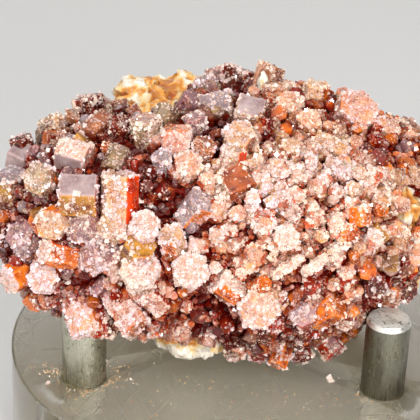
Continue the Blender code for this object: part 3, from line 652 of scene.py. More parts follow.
# Top faces in the satin and lilac finishes carry their grey-lilac as painted reflection of the light above
largeCrystals = (
    ((12, 190), 5.6, 4.6, (-0.10, 0.85, 0.50), 0, 0.8, "amber", {"top": "lilacSheen", "right": "brown"}),
    ((22, 158), 5.2, 3.6, (0.88, -0.42, 0.25), 0, 0.3, "satinSheen", {"bottom": "cream"}),
    ((17, 142), 3.6, 3.2, (-0.30, 0.90, 0.30), 0, 0.2, "maroon", {}),
    ((49, 156), 2.8, 2.6, (0.20, 0.85, 0.45), 20, 0.6, "lilacSheen", {}),
    ((75, 157), 4.8, 4.2, (0.90, -0.25, 0.30), 6, 0.6, "sugar", {"top": "white", "bottom": "satinSheen"}),
    ((45, 182), 5.0, 4.6, (-0.35, 0.20, 0.90), 10, 0.8, "olive", {"right": "brown"}),
    ((80, 196), 6.8, 4.8, (1.00, -0.03, 0.06), 0, 0.6, "cream",
     {"top": "satinSheen", "bottom": "amber", "right": "red"}),
    ((120, 198), 5.6, 6.2, (0.04, 1.00, 0.18), 22, 0.8, "cream", {"right": "scarlet"}),
    ((60, 253), 4.4, 4.6, (-0.82, 0.22, 0.50), 30, 1.0, "orange", {"left": "white", "top": "red"}),
    ((25, 241), 4.6, 4.2, (-0.25, 0.50, 0.80), 20, 0.8, "mauve", {"right": "red"}),
    ((7, 236), 4.0, 4.0, (-0.60, 0.20, 0.60), 0, 0.2, "maroon", {}),
    ((24, 271), 4.6, 4.8, (-0.75, -0.45, 0.45), 12, 0.8, "orange", {"left": "white"}),
    ((36, 298), 3.4, 3.4, (-0.40, -0.60, 0.60), 0, 0.6, "orange", {"left": "red"}),
    ((46, 278), 4.4, 3.8, (-0.10, 0.10, 1.00), 25, 0.8, "white", {"right": "brown"}),
    ((57, 221), 4.6, 4.4, (-0.40, -0.25, 0.88), 20, 0.6, "cream", {"top": "orange"}),
    ((84, 228), 4.0, 3.6, (0.80, 0.10, 0.55), 10, 0.6, "mauve", {}),
    ((116, 228), 4.4, 3.8, (0.70, 0.20, 0.65), 20, 0.6, "cream", {"right": "peach"}),
    ((99, 254), 4.8, 4.2, (0.55, 0.35, 0.75), 0, 0.6, "mauve", {"bottom": "sugar"}),
    ((80, 308), 4.6, 7.2, (0.30, -0.93, 0.20), 15, 1.0, "peach", {"right": "orange"}),
    ((102, 316), 3.8, 5.4, (-0.05, 1.00, 0.10), 20, 0.4, "red", {"right": "maroon", "left": "orange"}),
    ((124, 308), 4.6, 6.6, (0.52, -0.80, 0.32), 4, 1.0, "sugar", {"bottom": "orange"}),
    ((140, 272), 5.4, 4.4, (-0.05, 0.30, 0.95), 25, 0.8, "white", {}),
    ((137, 250), 4.6, 4.0, (0.30, 0.40, 0.85), 10, 0.6, "amber", {"bottom": "sugar"}),
    ((144, 230), 4.2, 3.6, (0.10, 0.45, 0.90), 0, 0.8, "white", {}),
    ((152, 296), 4.4, 4.0, (-0.55, 0.55, 0.62), 18, 0.8, "sugar", {"right": "red"}),
    ((178, 145), 6.0, 3.5, (0.98, 0.02, 0.10), 22, 0.2, "sugar", {"top": "orange"}),
    ((147, 136), 4.4, 5.0, (-0.05, 0.90, 0.42), 12, 0.8, "olive", {"top": "brown"}),
    ((162, 166), 3.0, 4.2, (0.10, 0.60, 0.75), 0, 0.6, "lilacSheen", {}),
    ((186, 170), 4.2, 3.8, (0.20, 0.45, 0.85), 28, 0.6, "peach", {"left": "red"}),
    ((195, 210), 4.6, 4.0, (0.55, 0.60, 0.55), 10, 0.6, "lilacSheen", {"bottom": "orange"}),
    ((201, 155), 3.6, 4.2, (0.30, 0.70, 0.60), 0, 0.4, "brown", {"right": "scarlet"}),
    ((233, 188), 7.6, 3.4, (0.50, -0.80, 0.30), 12, -0.4, "tea", {"left": "olive", "top": "orange"}),
    ((233, 162), 3.6, 3.8, (0.10, 0.92, 0.40), 25, 0.6, "cream", {"right": "scarlet"}),
    ((242, 142), 4.8, 4.6, (-0.15, 0.50, 0.85), 5, 0.6, "cream", {"right": "brown"}),
    ((251, 115), 6.2, 3.7, (0.95, -0.22, 0.12), 4, 0.3, "cream", {"top": "satinSheen", "right": "maroon"}),
    ((218, 110), 6.0, 4.2, (0.96, 0.18, 0.15), 4, 0.0, "olive", {"top": "lilacSheen"}),
    ((198, 130), 3.4, 4.4, (-0.25, 0.80, 0.50), 0, 0.4, "mauve", {"left": "lilacSheen"}),
    ((277, 91), 6.6, 2.2, (0.05, 0.96, 0.25), 14, 0.4, "peach", {"top": "white"}),
    ((288, 110), 4.2, 4.0, (0.15, 0.60, 0.80), 0, 0.6, "peach", {"left": "orange"}),
    ((314, 101), 4.0, 5.0, (0.15, 0.90, 0.40), 20, 0.6, "cream", {"right": "orange"}),
    ((353, 118), 6.4, 5.4, (0.25, 0.50, 0.85), 12, 0.8, "peach", {"left": "sugar", "right": "orange"}),
    ((344, 97), 2.8, 2.8, (0.10, 0.85, 0.50), 0, 0.4, "orange", {}),
    ((307, 127), 3.6, 3.6, (0.20, 0.60, 0.75), 25, 0.6, "peach", {"right": "scarlet"}),
    ((331, 147), 2.8, 4.8, (0.85, -0.48, 0.20), 15, 1.0, "cream", {}),
    ((404, 133), 3.8, 3.8, (0.50, 0.70, 0.40), 0, 0.4, "brown", {}),
    ((384, 133), 4.0, 3.8, (0.30, 0.60, 0.70), 20, 0.6, "peach", {"right": "orange"}),
    ((360, 214), 3.6, 2.6, (0.00, 0.96, 0.28), 0, 0.8, "orange", {"top": "peach"}),
    ((286, 240), 3.8, 3.2, (0.05, 0.20, 0.98), 0, 0.8, "orange", {"front": "white"}),
    ((286, 266), 5.0, 0.9, (-0.55, 0.83, 0.10), 10, 0.8, "white", {}),
    ((313, 265), 4.4, 0.9, (-0.50, 0.86, 0.10), 20, 0.8, "white", {}),
    ((191, 271), 5.0, 4.2, (0.05, 0.15, 1.00), 12, 0.8, "white", {}),
    ((173, 243), 3.8, 4.2, (-0.20, 0.60, 0.80), 0, 0.6, "cream", {"bottom": "orange"}),
    ((258, 307), 5.8, 4.8, (0.00, -0.05, 1.00), 22, 1.0, "peach", {}),
    ((227, 287), 4.0, 4.0, (-0.70, 0.50, 0.50), 8, 0.6, "white", {"bottom": "orange"}),
    ((325, 310), 4.6, 4.2, (0.70, 0.45, 0.55), 25, 0.6, "orange", {"top": "peach"}),
    ((304, 316), 4.4, 4.0, (-0.15, 0.30, 0.95), 28, 0.4, "red", {"front": "mauve"}),
    ((343, 279), 2.8, 3.0, (0.20, 0.60, 0.75), 0, 0.6, "red", {"top": "peach"}),
    ((311, 287), 2.8, 3.4, (0.10, 0.50, 0.85), 12, 0.6, "red", {"right": "orange"}),
    ((371, 285), 3.6, 3.8, (0.30, -0.20, 0.90), 20, 0.2, "maroon", {"top": "red"}),
    ((400, 287), 3.8, 4.0, (0.60, -0.30, 0.75), 5, 0.2, "maroon", {}),
    ((386, 297), 4.6, 4.4, (0.30, 0.80, 0.50), 12, 0.6, "brown", {"top": "white"}),
    ((283, 357), 3.2, 4.4, (-0.35, -0.85, 0.30), 0, 0.6, "orange", {}),
    ((300, 348), 3.6, 4.2, (0.10, -0.80, 0.55), 18, 0.2, "maroon", {}),
    ((327, 347), 3.8, 4.2, (0.60, -0.75, 0.30), 10, 0.4, "red", {"top": "mauve"}),
    ((236, 345), 3.4, 3.8, (-0.20, -0.80, 0.60), 25, 0.4, "sugar", {"bottom": "brown"}),
    ((258, 345), 3.6, 4.0, (0.10, -0.80, 0.55), 0, 0.4, "sugar", {"bottom": "red"}),
    # Its left face in the white finish stands in for the white glint there: painted highlight
    ((91, 111), 5.0, 4.8, (-0.25, 0.90, 0.20), 10, 1.8, "maroon", {"left": "white"}),
    ((52, 127), 3.8, 3.8, (-0.40, 0.85, 0.20), 22, 0.8, "olive", {"right": "cream"}),
    ((76, 125), 3.8, 3.8, (0.10, 0.80, 0.50), 5, 0.4, "brown", {"right": "orange"}),
    ((86, 143), 4.4, 1.0, (0.62, 0.78, 0.20), 0, 0.6, "amber", {}),
    ((120, 133), 3.8, 3.8, (0.30, 0.60, 0.60), 15, -0.2, "maroon", {}),
    ((222, 80), 4.8, 4.6, (-0.20, 0.95, 0.10), 8, 2.0, "mauve", {"right": "maroon"}),
    ((238, 82), 4.4, 4.4, (0.25, 0.90, 0.20), 24, 1.6, "maroon", {"top": "mauve"}),
    ((208, 92), 3.8, 4.2, (-0.35, 0.85, 0.30), 0, 0.8, "mauve", {"bottom": "olive"}),
    ((267, 75), 4.6, 4.4, (0.35, 0.90, 0.10), 15, 1.4, "brown", {"left": "peach"}),
)

crystalShape = {
    "cornerJitter": 0.06,      # share of the radius
    "bevel": 0.14,
    "rim": 0.3,
    "longestEdge": 0.6,
    "ripple": 0.05,            # how far clean faces wander
    "crumble": 0.16,           # how far sugared ones do
    "towardsSide": 1.1,        # weights for telling a left or right face from a front one
    "towardsFront": 0.5,
}


def sideOf(normal):
    right, up, toEye = viewAxes()
    scores = {
        "top": normal.dot(up),
        "bottom": -normal.dot(up),
        "right": normal.dot(right) * crystalShape["towardsSide"],
        "left": -normal.dot(right) * crystalShape["towardsSide"],
        "front": normal.dot(toEye) * crystalShape["towardsFront"],
    }
    return max(scores, key=scores.get)


def prismMesh(width, length, draw):
    bm = bmesh.new()
    bmesh.ops.create_cone(bm, cap_ends=True, segments=6, radius1=width / 2, radius2=width / 2, depth=length)
    jitter = crystalShape["cornerJitter"]
    columns = {}
    for vert in bm.verts:
        key = round(math.atan2(vert.co.y, vert.co.x), 2)
        columns.setdefault(key, 1.0 - draw.uniform(0.0, 2 * jitter))
        vert.co.x *= columns[key]
        vert.co.y *= columns[key]
    offset = min(crystalShape["bevel"] * mm, length * 0.2)
    bmesh.ops.bevel(bm, geom=bm.edges[:], offset=offset, segments=1, affect="EDGES")
    return bm


def placeOf(centre, axis, facing, turn):
    across = axis.cross(facing).normalized() * -1.0
    place = Matrix((across, axis.cross(across), axis)).transposed().to_4x4()
    return Matrix.Translation(centre) @ place @ Matrix.Rotation(math.radians(turn), 4, "Z")


def refine(bm, longest):
    bmesh.ops.poke(bm, faces=[face for face in bm.faces if len(face.verts) > 4])
    for _ in range(5):
        long = [edge for edge in bm.edges if edge.calc_length() > longest]
        if not long:
            break
        bmesh.ops.subdivide_edges(bm, edges=long, cuts=1, use_grid_fill=True)
        bmesh.ops.triangulate(bm, faces=bm.faces[:])


def valuesOf(finishName):
    tint, frost, sugar = finishes[finishName]
    return np.array(paint(tint)), frost, sugar


def crumble(points, normals, sugar, seed):
    moved = points.copy()
    for index, point in enumerate(points):
        spot = Vector(point) / mm + Vector((seed, 0, 0))
        soft = noise.noise(spot * 0.9) * crystalShape["ripple"]
        cells = 0.5 - noise.voronoi(spot * 1.6)[0][0]
        fine = noise.noise(spot * 2.7)
        rough = (cells * 0.8 + fine * 0.5) * crystalShape["crumble"] * sugar[index]
        moved[index] += normals[index] * (soft + rough) * mm
    return moved


def shapeLargeCrystal(row, draw, heap, places):
    pixel, width, length, lean, turn, proud, finish, others = row
    right, up, toEye = viewAxes()
    spot, direction = seat(pixel)
    axis = (right * lean[0] + up * lean[1] + toEye * lean[2]).normalized()
    centre = spot - direction * proud * mm
    facing = toEye if abs(axis.dot(toEye)) < 0.98 else up
    bm = prismMesh(width * mm, length * mm, draw)
    bmesh.ops.transform(bm, matrix=placeOf(centre, axis, facing, turn), verts=bm.verts[:])
    bm.normal_update()
    flats = sorted(bm.faces, key=lambda face: face.calc_area(), reverse=True)[:8]
    edge = bm.verts.layers.float.new("edge")
    for vert in bm.verts:
        vert[edge] = 1.0
    bmesh.ops.inset_individual(bm, faces=flats, thickness=crystalShape["rim"] * mm)
    for face in flats:
        for vert in face.verts:
            vert[edge] = 0.0
    tint = bm.verts.layers.float_color.new("tint")
    frost = bm.verts.layers.float.new("frost")
    sugar = bm.verts.layers.float.new("sugar")
    for face in flats:
        colour, frostSheenShare, sugared = valuesOf(others.get(sideOf(face.normal), finish))
        colour = colour * draw.uniform(0.85, 1.15)
        ring = [vert for near in face.edges for other in near.link_faces for vert in other.verts]
        for vert in ring:
            vert[tint] = (*colour, 1.0)
            vert[frost] = frostSheenShare
            vert[sugar] = sugared
    refine(bm, crystalShape["longestEdge"] * mm)
    bm.normal_update()
    normals = np.array([vert.normal for vert in bm.verts])
    tints = np.array([vert[tint][:3] for vert in bm.verts])
    frostSheens = np.array([vert[frost] for vert in bm.verts])
    sugars = np.array([vert[sugar] for vert in bm.verts])
    edges = np.array([vert[edge] for vert in bm.verts])
    points, triangles = arraysOf(bm)
    bm.free()
    points = keepOffStand(crumble(points, normals, sugars, draw.uniform(0, 50)))
    heap.add(points, triangles, tint=tints, frost=frostSheens, sugar=sugars, height=reliefOf(points), edge=edges)
    places.append((centre, width * mm))


def insideBox(points):
    low, high = (np.array(corner) for corner in cadBox)
    return ((points > low) & (points < high)).all(axis=-1)


heapOfLarge = Heap()
places = []
draw = random.Random(5)
for row in largeCrystals:
    shapeLargeCrystal(row, draw, heapOfLarge, places)
largePoints, largeTriangles, largeValues = heapOfLarge.joined()
lowCorner, highCorner = (np.array(corner) for corner in cadBox)
largePoints = np.clip(largePoints, lowCorner, highCorner)
largePiece = meshPiece("largeCrystals", largePoints, largeTriangles, crystalMaterial, largeValues, 32.0)


# Smaller crystals: copies of a few uneven prisms, planted in one go

def prismTemplate(draw, bevel):
    bm = bmesh.new()
    bmesh.ops.create_cone(bm, cap_ends=True, segments=6, radius1=0.5, radius2=0.5, depth=1.0)
    for vert in bm.verts:
        vert.co.x *= draw.uniform(0.86, 1.0)
        vert.co.y *= draw.uniform(0.86, 1.0)
    if bevel:
        bmesh.ops.bevel(bm, geom=bm.edges[:], offset=bevel, segments=1, affect="EDGES")
    arrays = arraysOf(bm)
    bm.free()
    return arrays


def unit(vectors):
    return vectors / np.maximum(np.linalg.norm(vectors, axis=-1, keepdims=True), 1e-9)


def plant(template, centres, axes, widths, lengths, seeds):
    points, triangles = template
    helper = unit(seeds.normal(size=axes.shape))
    across = unit(np.cross(axes, helper))
    other = np.cross(axes, across)
    placed = centres[:, None] + (
        points[None, :, 0, None] * across[:, None] + points[None, :, 1, None] * other[:, None]
    ) * widths[:, None, None] + points[None, :, 2, None] * axes[:, None] * lengths[:, None, None]
    return placed, triangles


def addPlanted(heap, placed, triangles, **values):
    kept = insideBox(placed).all(axis=1)
    placed = placed[kept]
    count, size = placed.shape[:2]
    offsets = (np.arange(count) * size)[:, None, None]
    spread = {key: np.repeat(value[kept], size, axis=0) for key, value in values.items()}
    heap.add(placed.reshape(-1, 3), (triangles[None] + offsets).reshape(-1, 3), **spread)
    return kept


def scatter(points, triangles, weights, count, seeds):
    a, b, c = (points[triangles[:, corner]] for corner in range(3))
    cross = np.cross(b - a, c - a)
    area = np.maximum(np.linalg.norm(cross, axis=1), 1e-12)
    share = area * weights
    chosen = seeds.choice(len(triangles), size=count, p=share / share.sum())
    u, v = seeds.random((2, count))
    over = u + v > 1
    u[over], v[over] = 1 - u[over], 1 - v[over]
    spots = a[chosen] + (b - a)[chosen] * u[:, None] + (c - a)[chosen] * v[:, None]
    return spots, cross[chosen] / area[chosen, None], chosen


# Rock lobes: middle over the base's top, half sizes, how stained

lobes = (
    ((-13.6, 16.5, 29.2), (5.2, 5.0, 4.2), -0.15),
    ((-8.9, 18.0, 30.2), (2.9, 4.0, 3.4), -0.26),
    ((-5.7, 15.5, 30.8), (2.0, 4.0, 3.4), -0.34),
    ((2.6, 14.5, 33.2), (1.2, 2.6, 2.6), -0.35),
    ((-5.7, -8.2, 5.7), (5.6, 5.2, 3.1), -0.34),
    ((21.6, -3.2, 23.2), (3.2, 3.4, 3.6), -0.20),
    ((22.5, -1.5, 12.4), (3.4, 4.0, 4.0), -0.10),
)


def onALobe(points, margin):
    found = np.zeros(len(points), bool)
    for middle, radii, _ in lobes:
        away = points / mm - np.array(middle) - np.array((0, 0, base["thickness"]))
        found |= np.linalg.norm(away / np.array(radii), axis=1) < margin
    return found


filling = {
    "tries": 396,
    "seed": 23,
    "lean": 1.0,
    "spacing": 0.62,
    "leastSpace": 0.6,
    "length": (0.85, 1.2),
    "standsOut": 0.10,
    "leftWidth": (3.0, 4.3),
    "rightWidth": (2.2, 3.2),
    "fineFrom": -6.0,
    "bareBack": 0.55,
    "bareUnderside": -0.75,
    "pinRoom": 2.2,
    "lobeMargin": 1.35,
}


def spreadDirections(count):
    golden = math.pi * (3.0 - math.sqrt(5.0))
    for index in range(count):
        z = 1.0 - 2.0 * (index + 0.5) / count
        ring = math.sqrt(1.0 - z * z)
        yield Vector((math.cos(index * golden) * ring, math.sin(index * golden) * ring, z))


def byAPin(spot):
    top = (base["thickness"] + pins["aboveBase"] + filling["pinRoom"]) * mm
    if spot.z > top:
        return False
    for angle in pins["angles"].values():
        turn = math.radians(angle)
        middle = Vector((math.cos(turn), math.sin(turn), 0)) * pins["circle"] * mm
        middle.z = spot.z
        if (spot - middle).length < (pins["radius"] + filling["pinRoom"]) * mm:
            return True
    return False


def fillingCrystals(places):
    draw = random.Random(filling["seed"])
    rows = []
    for index, direction in enumerate(spreadDirections(filling["tries"])):
        spot, normal, _, _ = lumpTree.find_nearest(lumpPoint(direction))
        lean = Vector([draw.uniform(-filling["lean"], filling["lean"]) for _ in range(3)])
        draw.uniform(0.0, 60.0)
        share = draw.random()
        lengthShare = draw.uniform(*filling["length"])
        low, high = filling["leftWidth"] if spot.x < filling["fineFrom"] * mm else filling["rightWidth"]
        width = (low + (high - low) * share) * mm
        fineFront = spot.x > filling["fineFrom"] * mm and normal.y < 0
        if index % 2 and not fineFront:
            continue
        if normal.y > filling["bareBack"] or normal.z < filling["bareUnderside"] or byAPin(spot):
            continue
        if onALobe(np.array([spot]), filling["lobeMargin"])[0] or bareShare(np.array([spot]))[0] > 0.3:
            continue
        if any((spot - other).length < filling["spacing"] * (width + size) / 2 + filling["leastSpace"] * mm
               for other, size in places):
            continue
        axis = (normal + lean).normalized()
        centre = spot + normal * filling["standsOut"] * width
        rows.append((centre, axis, width, width * lengthShare))
        places.append((centre, width))
    return rows


def lumpArrays(subdivisions):
    bm = lumpMesh(subdivisions)
    arrays = arraysOf(bm)
    bm.free()
    return arrays


def finishArrays(centres, seeds):
    names = []
    covers = []
    for index in zoneOf(centres):
        mix = zones[index]["mix"]
        weights = np.array(list(mix.values()), float)
        names.append(list(mix)[seeds.choice(len(weights), p=weights / weights.sum())])
        covers.append(zones[index]["sugar"])
    values = [valuesOf(name) for name in names]
    shade = seeds.uniform(0.6, 1.25, (len(names), 1))
    tints = np.array([entry[0] for entry in values]) * shade
    frostSheens = np.array([entry[1] for entry in values])
    sugars = np.maximum([entry[2] for entry in values], 0.5) * (0.5 + 0.5 * np.array(covers))
    return tints, frostSheens, sugars


smallShape = {
    "templates": 6,
    "bevel": 0.05,
    "mediumCount": 900,
    "mediumWidth": (1.3, 2.3),
    "tinyCount": 4600,
    "tinyWidth": (0.55, 1.15),
    "tinyMost": 2.2,
    "lean": 0.75,
    "seed": 71,
}


knobs = {
    "tries": 5000,
    "leastOpen": 0.35,
    "mostBack": 0.3,
    "spacing": 2.3,
    "fromLarge": 2.6,
    "width": (1.7, 3.0),
    "lift": (0.2, 1.0),
    "lean": 0.6,
}


def bareThere(spots, normals):
    bare = (normals[:, 1] > filling["bareBack"] + 0.12) | (normals[:, 2] < filling["bareUnderside"] - 0.1)
    return bare | onALobe(spots, 1.12) | (bareShare(spots) > 0.5)


def plantSmall(heap, centres, axes, widths, lengths, bevel, seeds):
    tints, frostSheens, sugars = finishArrays(centres, seeds)
    groups = seeds.integers(0, smallShape["templates"], len(centres))
    draw = random.Random(smallShape["seed"])
    for group in range(smallShape["templates"]):
        template = prismTemplate(draw, bevel)
        mine = groups == group
        placed, triangles = plant(template, centres[mine], axes[mine], widths[mine], lengths[mine], seeds)
        rims = np.zeros(len(template[0]))
        flat = placed.reshape(-1, 3)
        keepOffStand(flat)
        heights = reliefOf(flat).reshape(placed.shape[:2])
        kept = insideBox(placed).all(axis=1)
        placed, heights = placed[kept], heights[kept]
        count, size = placed.shape[:2]
        offsets = (np.arange(count) * size)[:, None, None]
        heap.add(placed.reshape(-1, 3), (triangles[None] + offsets).reshape(-1, 3),
                 tint=np.repeat(tints[mine][kept], size, axis=0),
                 frost=np.repeat(frostSheens[mine][kept], size),
                 sugar=np.repeat(sugars[mine][kept], size),
                 height=heights.ravel(),
                 edge=np.tile(rims, count))


seeds = np.random.default_rng(smallShape["seed"])
rows = fillingCrystals(places)
smallHeap = Heap()
plantSmall(smallHeap, np.array([row[0] for row in rows]), np.array([row[1] for row in rows]),
           np.array([row[2] for row in rows]), np.array([row[3] for row in rows]), 0.035, seeds)

lumpPoints, lumpTriangles = lumpArrays(5)
spots, normals, _ = scatter(lumpPoints, lumpTriangles, np.ones(len(lumpTriangles)),
                            smallShape["mediumCount"] * 2, seeds)
open_ = ~bareThere(spots, normals)
spots, normals = spots[open_][:smallShape["mediumCount"]], normals[open_][:smallShape["mediumCount"]]
widths = seeds.uniform(*smallShape["mediumWidth"], len(spots)) * mm
axes = unit(normals + seeds.normal(0, smallShape["lean"], normals.shape))
lift = seeds.uniform(-0.1, 0.55, (len(spots), 1)) * mm
plantSmall(smallHeap, spots + normals * lift, axes, widths, widths * seeds.uniform(0.7, 1.5, len(spots)),
           smallShape["bevel"], seeds)

# Knobs that stand out of the finely sugared field at the right


def knobSpots(seeds):
    spots, normals, _ = scatter(lumpPoints, lumpTriangles, np.ones(len(lumpTriangles)), knobs["tries"], seeds)
    field = np.array([zone["open"] for zone in zones])[zoneOf(spots)] >= knobs["leastOpen"]
    kept = []
    middles = np.array([place[0] for place in places[:len(largeCrystals)]])
    for index in np.flatnonzero(field & (normals[:, 1] < knobs["mostBack"]) & ~bareThere(spots, normals)):
        if np.linalg.norm(middles - spots[index], axis=1).min() < knobs["fromLarge"] * mm:
            continue
        if all(np.linalg.norm(spots[index] - spots[other]) > knobs["spacing"] * mm for other in kept):
            kept.append(index)
    return spots[kept], normals[kept]


spots, normals = knobSpots(seeds)
widths = seeds.uniform(*knobs["width"], len(spots)) * mm
axes = unit(normals + seeds.normal(0, knobs["lean"], normals.shape))
lift = seeds.uniform(*knobs["lift"], (len(spots), 1)) * mm
plantSmall(smallHeap, spots + normals * lift, axes, widths, widths * seeds.uniform(0.8, 1.4, len(spots)),
           smallShape["bevel"], seeds)

tinySpots, tinyNormals, _ = scatter(lumpPoints, lumpTriangles, np.ones(len(lumpTriangles)),
                                    smallShape["tinyCount"] * 3, seeds)
wanted = np.array([zone["tiny"] for zone in zones])[zoneOf(tinySpots)] / smallShape["tinyMost"]
kept = ~bareThere(tinySpots, tinyNormals) & (seeds.random(len(tinySpots)) < wanted)
tinySpots, tinyNormals = tinySpots[kept][:smallShape["tinyCount"]], tinyNormals[kept][:smallShape["tinyCount"]]
widths = seeds.uniform(*smallShape["tinyWidth"], len(tinySpots)) * mm
axes = unit(tinyNormals + seeds.normal(0, smallShape["lean"], tinyNormals.shape))
lift = seeds.uniform(-0.5, 0.35, (len(tinySpots), 1)) * mm
plantSmall(smallHeap, tinySpots + tinyNormals * lift, axes, widths,
           widths * seeds.uniform(0.8, 1.6, len(tinySpots)), 0.0, seeds)
smallPoints, smallTriangles, smallValues = smallHeap.joined()
print("small crystals planted")


# Bed: the crumbly floor that the crystals stand in

bedLook = {"sink": 0.7, "coarse": 0.55, "fine": 0.35, "seed": 9}


def makeBed():
    bm = lumpMesh(7)
    points = []
    for vert in bm.verts:
        spot = vert.co / mm
        lift = noise.noise(spot * 0.35) * bedLook["coarse"]
        lift += (0.5 - noise.voronoi(spot * 0.8)[0][0]) * bedLook["fine"]
        lift += noise.noise(spot * 1.6) * bedLook["fine"] * 0.8
        points.append(vert.co + vert.normal * (lift - bedLook["sink"]) * mm)
    shares = bareShare(np.array(points))
    for vert, point, share in zip(bm.verts, points, shares):
        vert.co = point - vert.normal * bareRock["sink"] * share * mm
    bm.normal_update()
    arrays = arraysOf(bm)
    bm.free()
    return arrays


bedPoints, bedTriangles = makeBed()
bedPoints = keepOffStand(bedPoints)
bedTints, bedFrosts, bedSugars = finishArrays(bedPoints, np.random.default_rng(bedLook["seed"]))
bedValues = {
    # tint: the zone's bed colour, partly painted shade and glow of the gaps
    "tint": np.array([paint(zone["bed"]) for zone in zones])[zoneOf(bedPoints)] * 0.8 + bedTints * 0.2,
    "frost": bedFrosts * 0.3,
    "sugar": bedSugars * 0.6,
    "height": reliefOf(bedPoints),
    "edge": np.zeros(len(bedPoints)),
}


# What lies in a gap counts as lower than its height, and so gets more of the dark red painted shade

gaps = {
    "cell": 1.3,          # how far the neighbours are, in mm
    "grids": 4,
    "highest": 2.8,       # taller neighbours count as this tall
    "spare": 0.4,
    "share": 0.8,
}


def neighbourHeights(points, heights):
    total = np.zeros(len(points))
    for grid in range(gaps["grids"]):
        cells = np.floor(points / (gaps["cell"] * mm) + grid / gaps["grids"]).astype(int)
        cells -= cells.min(axis=0) - 1
        tops = np.full(cells.max(axis=0) + 2, -9.0)
        np.maximum.at(tops, tuple(cells.T), heights)
        for axis in range(3):
            tops = np.maximum.reduce((tops, np.roll(tops, 1, axis), np.roll(tops, -1, axis)))
        total += tops[tuple(cells.T)]
    return total / gaps["grids"]


def deepenGapShade():
    points = np.concatenate((largePoints, smallPoints, bedPoints))
    heights = np.concatenate((largeValues["height"], smallValues["height"], bedValues["height"]))
    around = np.minimum(neighbourHeights(points, heights), gaps["highest"])
    shut = 1.0 - np.array([zone["open"] for zone in zones])[zoneOf(points)]
    lowered = heights - np.clip(around - heights - gaps["spare"], 0.0, None) * gaps["share"] * shut
    start = len(largePoints)
    smallValues["height"] = lowered[start:start + len(smallPoints)]
    bedValues["height"] = lowered[start + len(smallPoints):]


deepenGapShade()
smallPiece = meshPiece("smallCrystals", smallPoints, smallTriangles, crystalMaterial, smallValues)
bedPiece = meshPiece("crystalBed", bedPoints, bedTriangles, crystalMaterial, bedValues)


# Sugar grains on every open face

grains = {
    "coarse": {"pieces": 1, "perPiece": 12000, "width": (0.26, 0.60), "whites": 0.52},
    "fine": {"pieces": 3, "perPiece": 13000, "width": (0.14, 0.30), "whites": 0.60},
    "seed": 301,
    "tries": 6,
    "clearAbove": 1.4,        # how much free room a grain needs over it
    "patchesPerMetre": 850.0,
    "paintedLowGlow": 0.7,           # painted glow: how much of the crystal's own lighter colour the low ones take
    "paintedShadeInGaps": 0.95,          # painted shade: how dark red the grains in gaps get
}


def openAbove(tree, spots, normals, reach):
    found = np.zeros(len(spots), bool)
    for index, (spot, normal) in enumerate(zip(spots, normals)):
        outward = lumpTree.find_nearest(Vector(spot))[1]
        way = (Vector(normal) + outward).normalized()
        start = Vector(spot) + Vector(normal) * 0.03 * mm
        found[index] = tree.ray_cast(start, way, reach)[0] is None
    return found


allPoints = np.concatenate((largePoints, smallPoints, bedPoints))
allTriangles = np.concatenate((largeTriangles, smallTriangles + len(largePoints),
                               bedTriangles + len(largePoints) + len(smallPoints)))
allTints = np.concatenate((largeValues["tint"], smallValues["tint"], bedValues["tint"]))
allSugars = np.concatenate((largeValues["sugar"], smallValues["sugar"], bedValues["sugar"] * 0.6))
allHeights = np.concatenate((largeValues["height"], smallValues["height"], bedValues["height"]))
allEdges = np.concatenate((largeValues["edge"], smallValues["edge"], bedValues["edge"]))
allTree = BVHTree.FromPolygons(allPoints.tolist(), allTriangles.tolist())
print("surfaces gathered")


def grainTemplate(kind, draw):
    bm = bmesh.new()
    if kind == "coarse":
        bmesh.ops.create_cube(bm, size=0.9)
    else:
        bmesh.ops.create_cone(bm, segments=4, radius1=0.55, radius2=0.0, depth=0.7,
                              matrix=Matrix.Translation((0, 0, 0.35)))
        bmesh.ops.create_cone(bm, segments=4, radius1=0.0, radius2=0.55, depth=0.7,
                              matrix=Matrix.Translation((0, 0, -0.35)))
        bmesh.ops.remove_doubles(bm, verts=bm.verts[:], dist=0.01)
    for vert in bm.verts:
        vert.co *= draw.uniform(0.8, 1.2)
    arrays = arraysOf(bm)
    bm.free()
    return arrays


def grainSpots(count, seeds):
    sugar = allSugars[allTriangles].mean(axis=1)
    high = np.clip(allHeights[allTriangles].mean(axis=1) * 0.5 + 0.6, 0.06, 1.0)
    rim = allEdges[allTriangles].mean(axis=1)
    weights = (sugar ** 1.5 + 0.25 * rim * sugar) * high
    spots, normals, chosen = scatter(allPoints, allTriangles, weights, count * grains["tries"], seeds)
    patch = np.array([noise.noise(Vector(spot) * grains["patchesPerMetre"]) for spot in spots])
    thin = np.clip(1.0 - sugar[chosen], 0.0, 1.0)
    chance = 0.55 + patch * (1.2 + 2.0 * thin) - thin * 1.0 + rim[chosen] * 0.3
    kept = seeds.random(len(spots)) < chance
    spots, normals, chosen = spots[kept], normals[kept], chosen[kept]
    kept = ~bareThere(spots, normals * 0) & openAbove(allTree, spots, normals, grains["clearAbove"] * mm)
    return spots[kept][:count], normals[kept][:count], chosen[kept][:count]


zoneOpen = np.array([zone["open"] for zone in zones])
zoneWhite = np.array([zone["white"] for zone in zones])
zoneCool = np.array([zone["cool"] for zone in zones])
warmWhite = np.array(paint("#fff4e4"))
coolWhite = np.array(paint("#f6eaf4"))


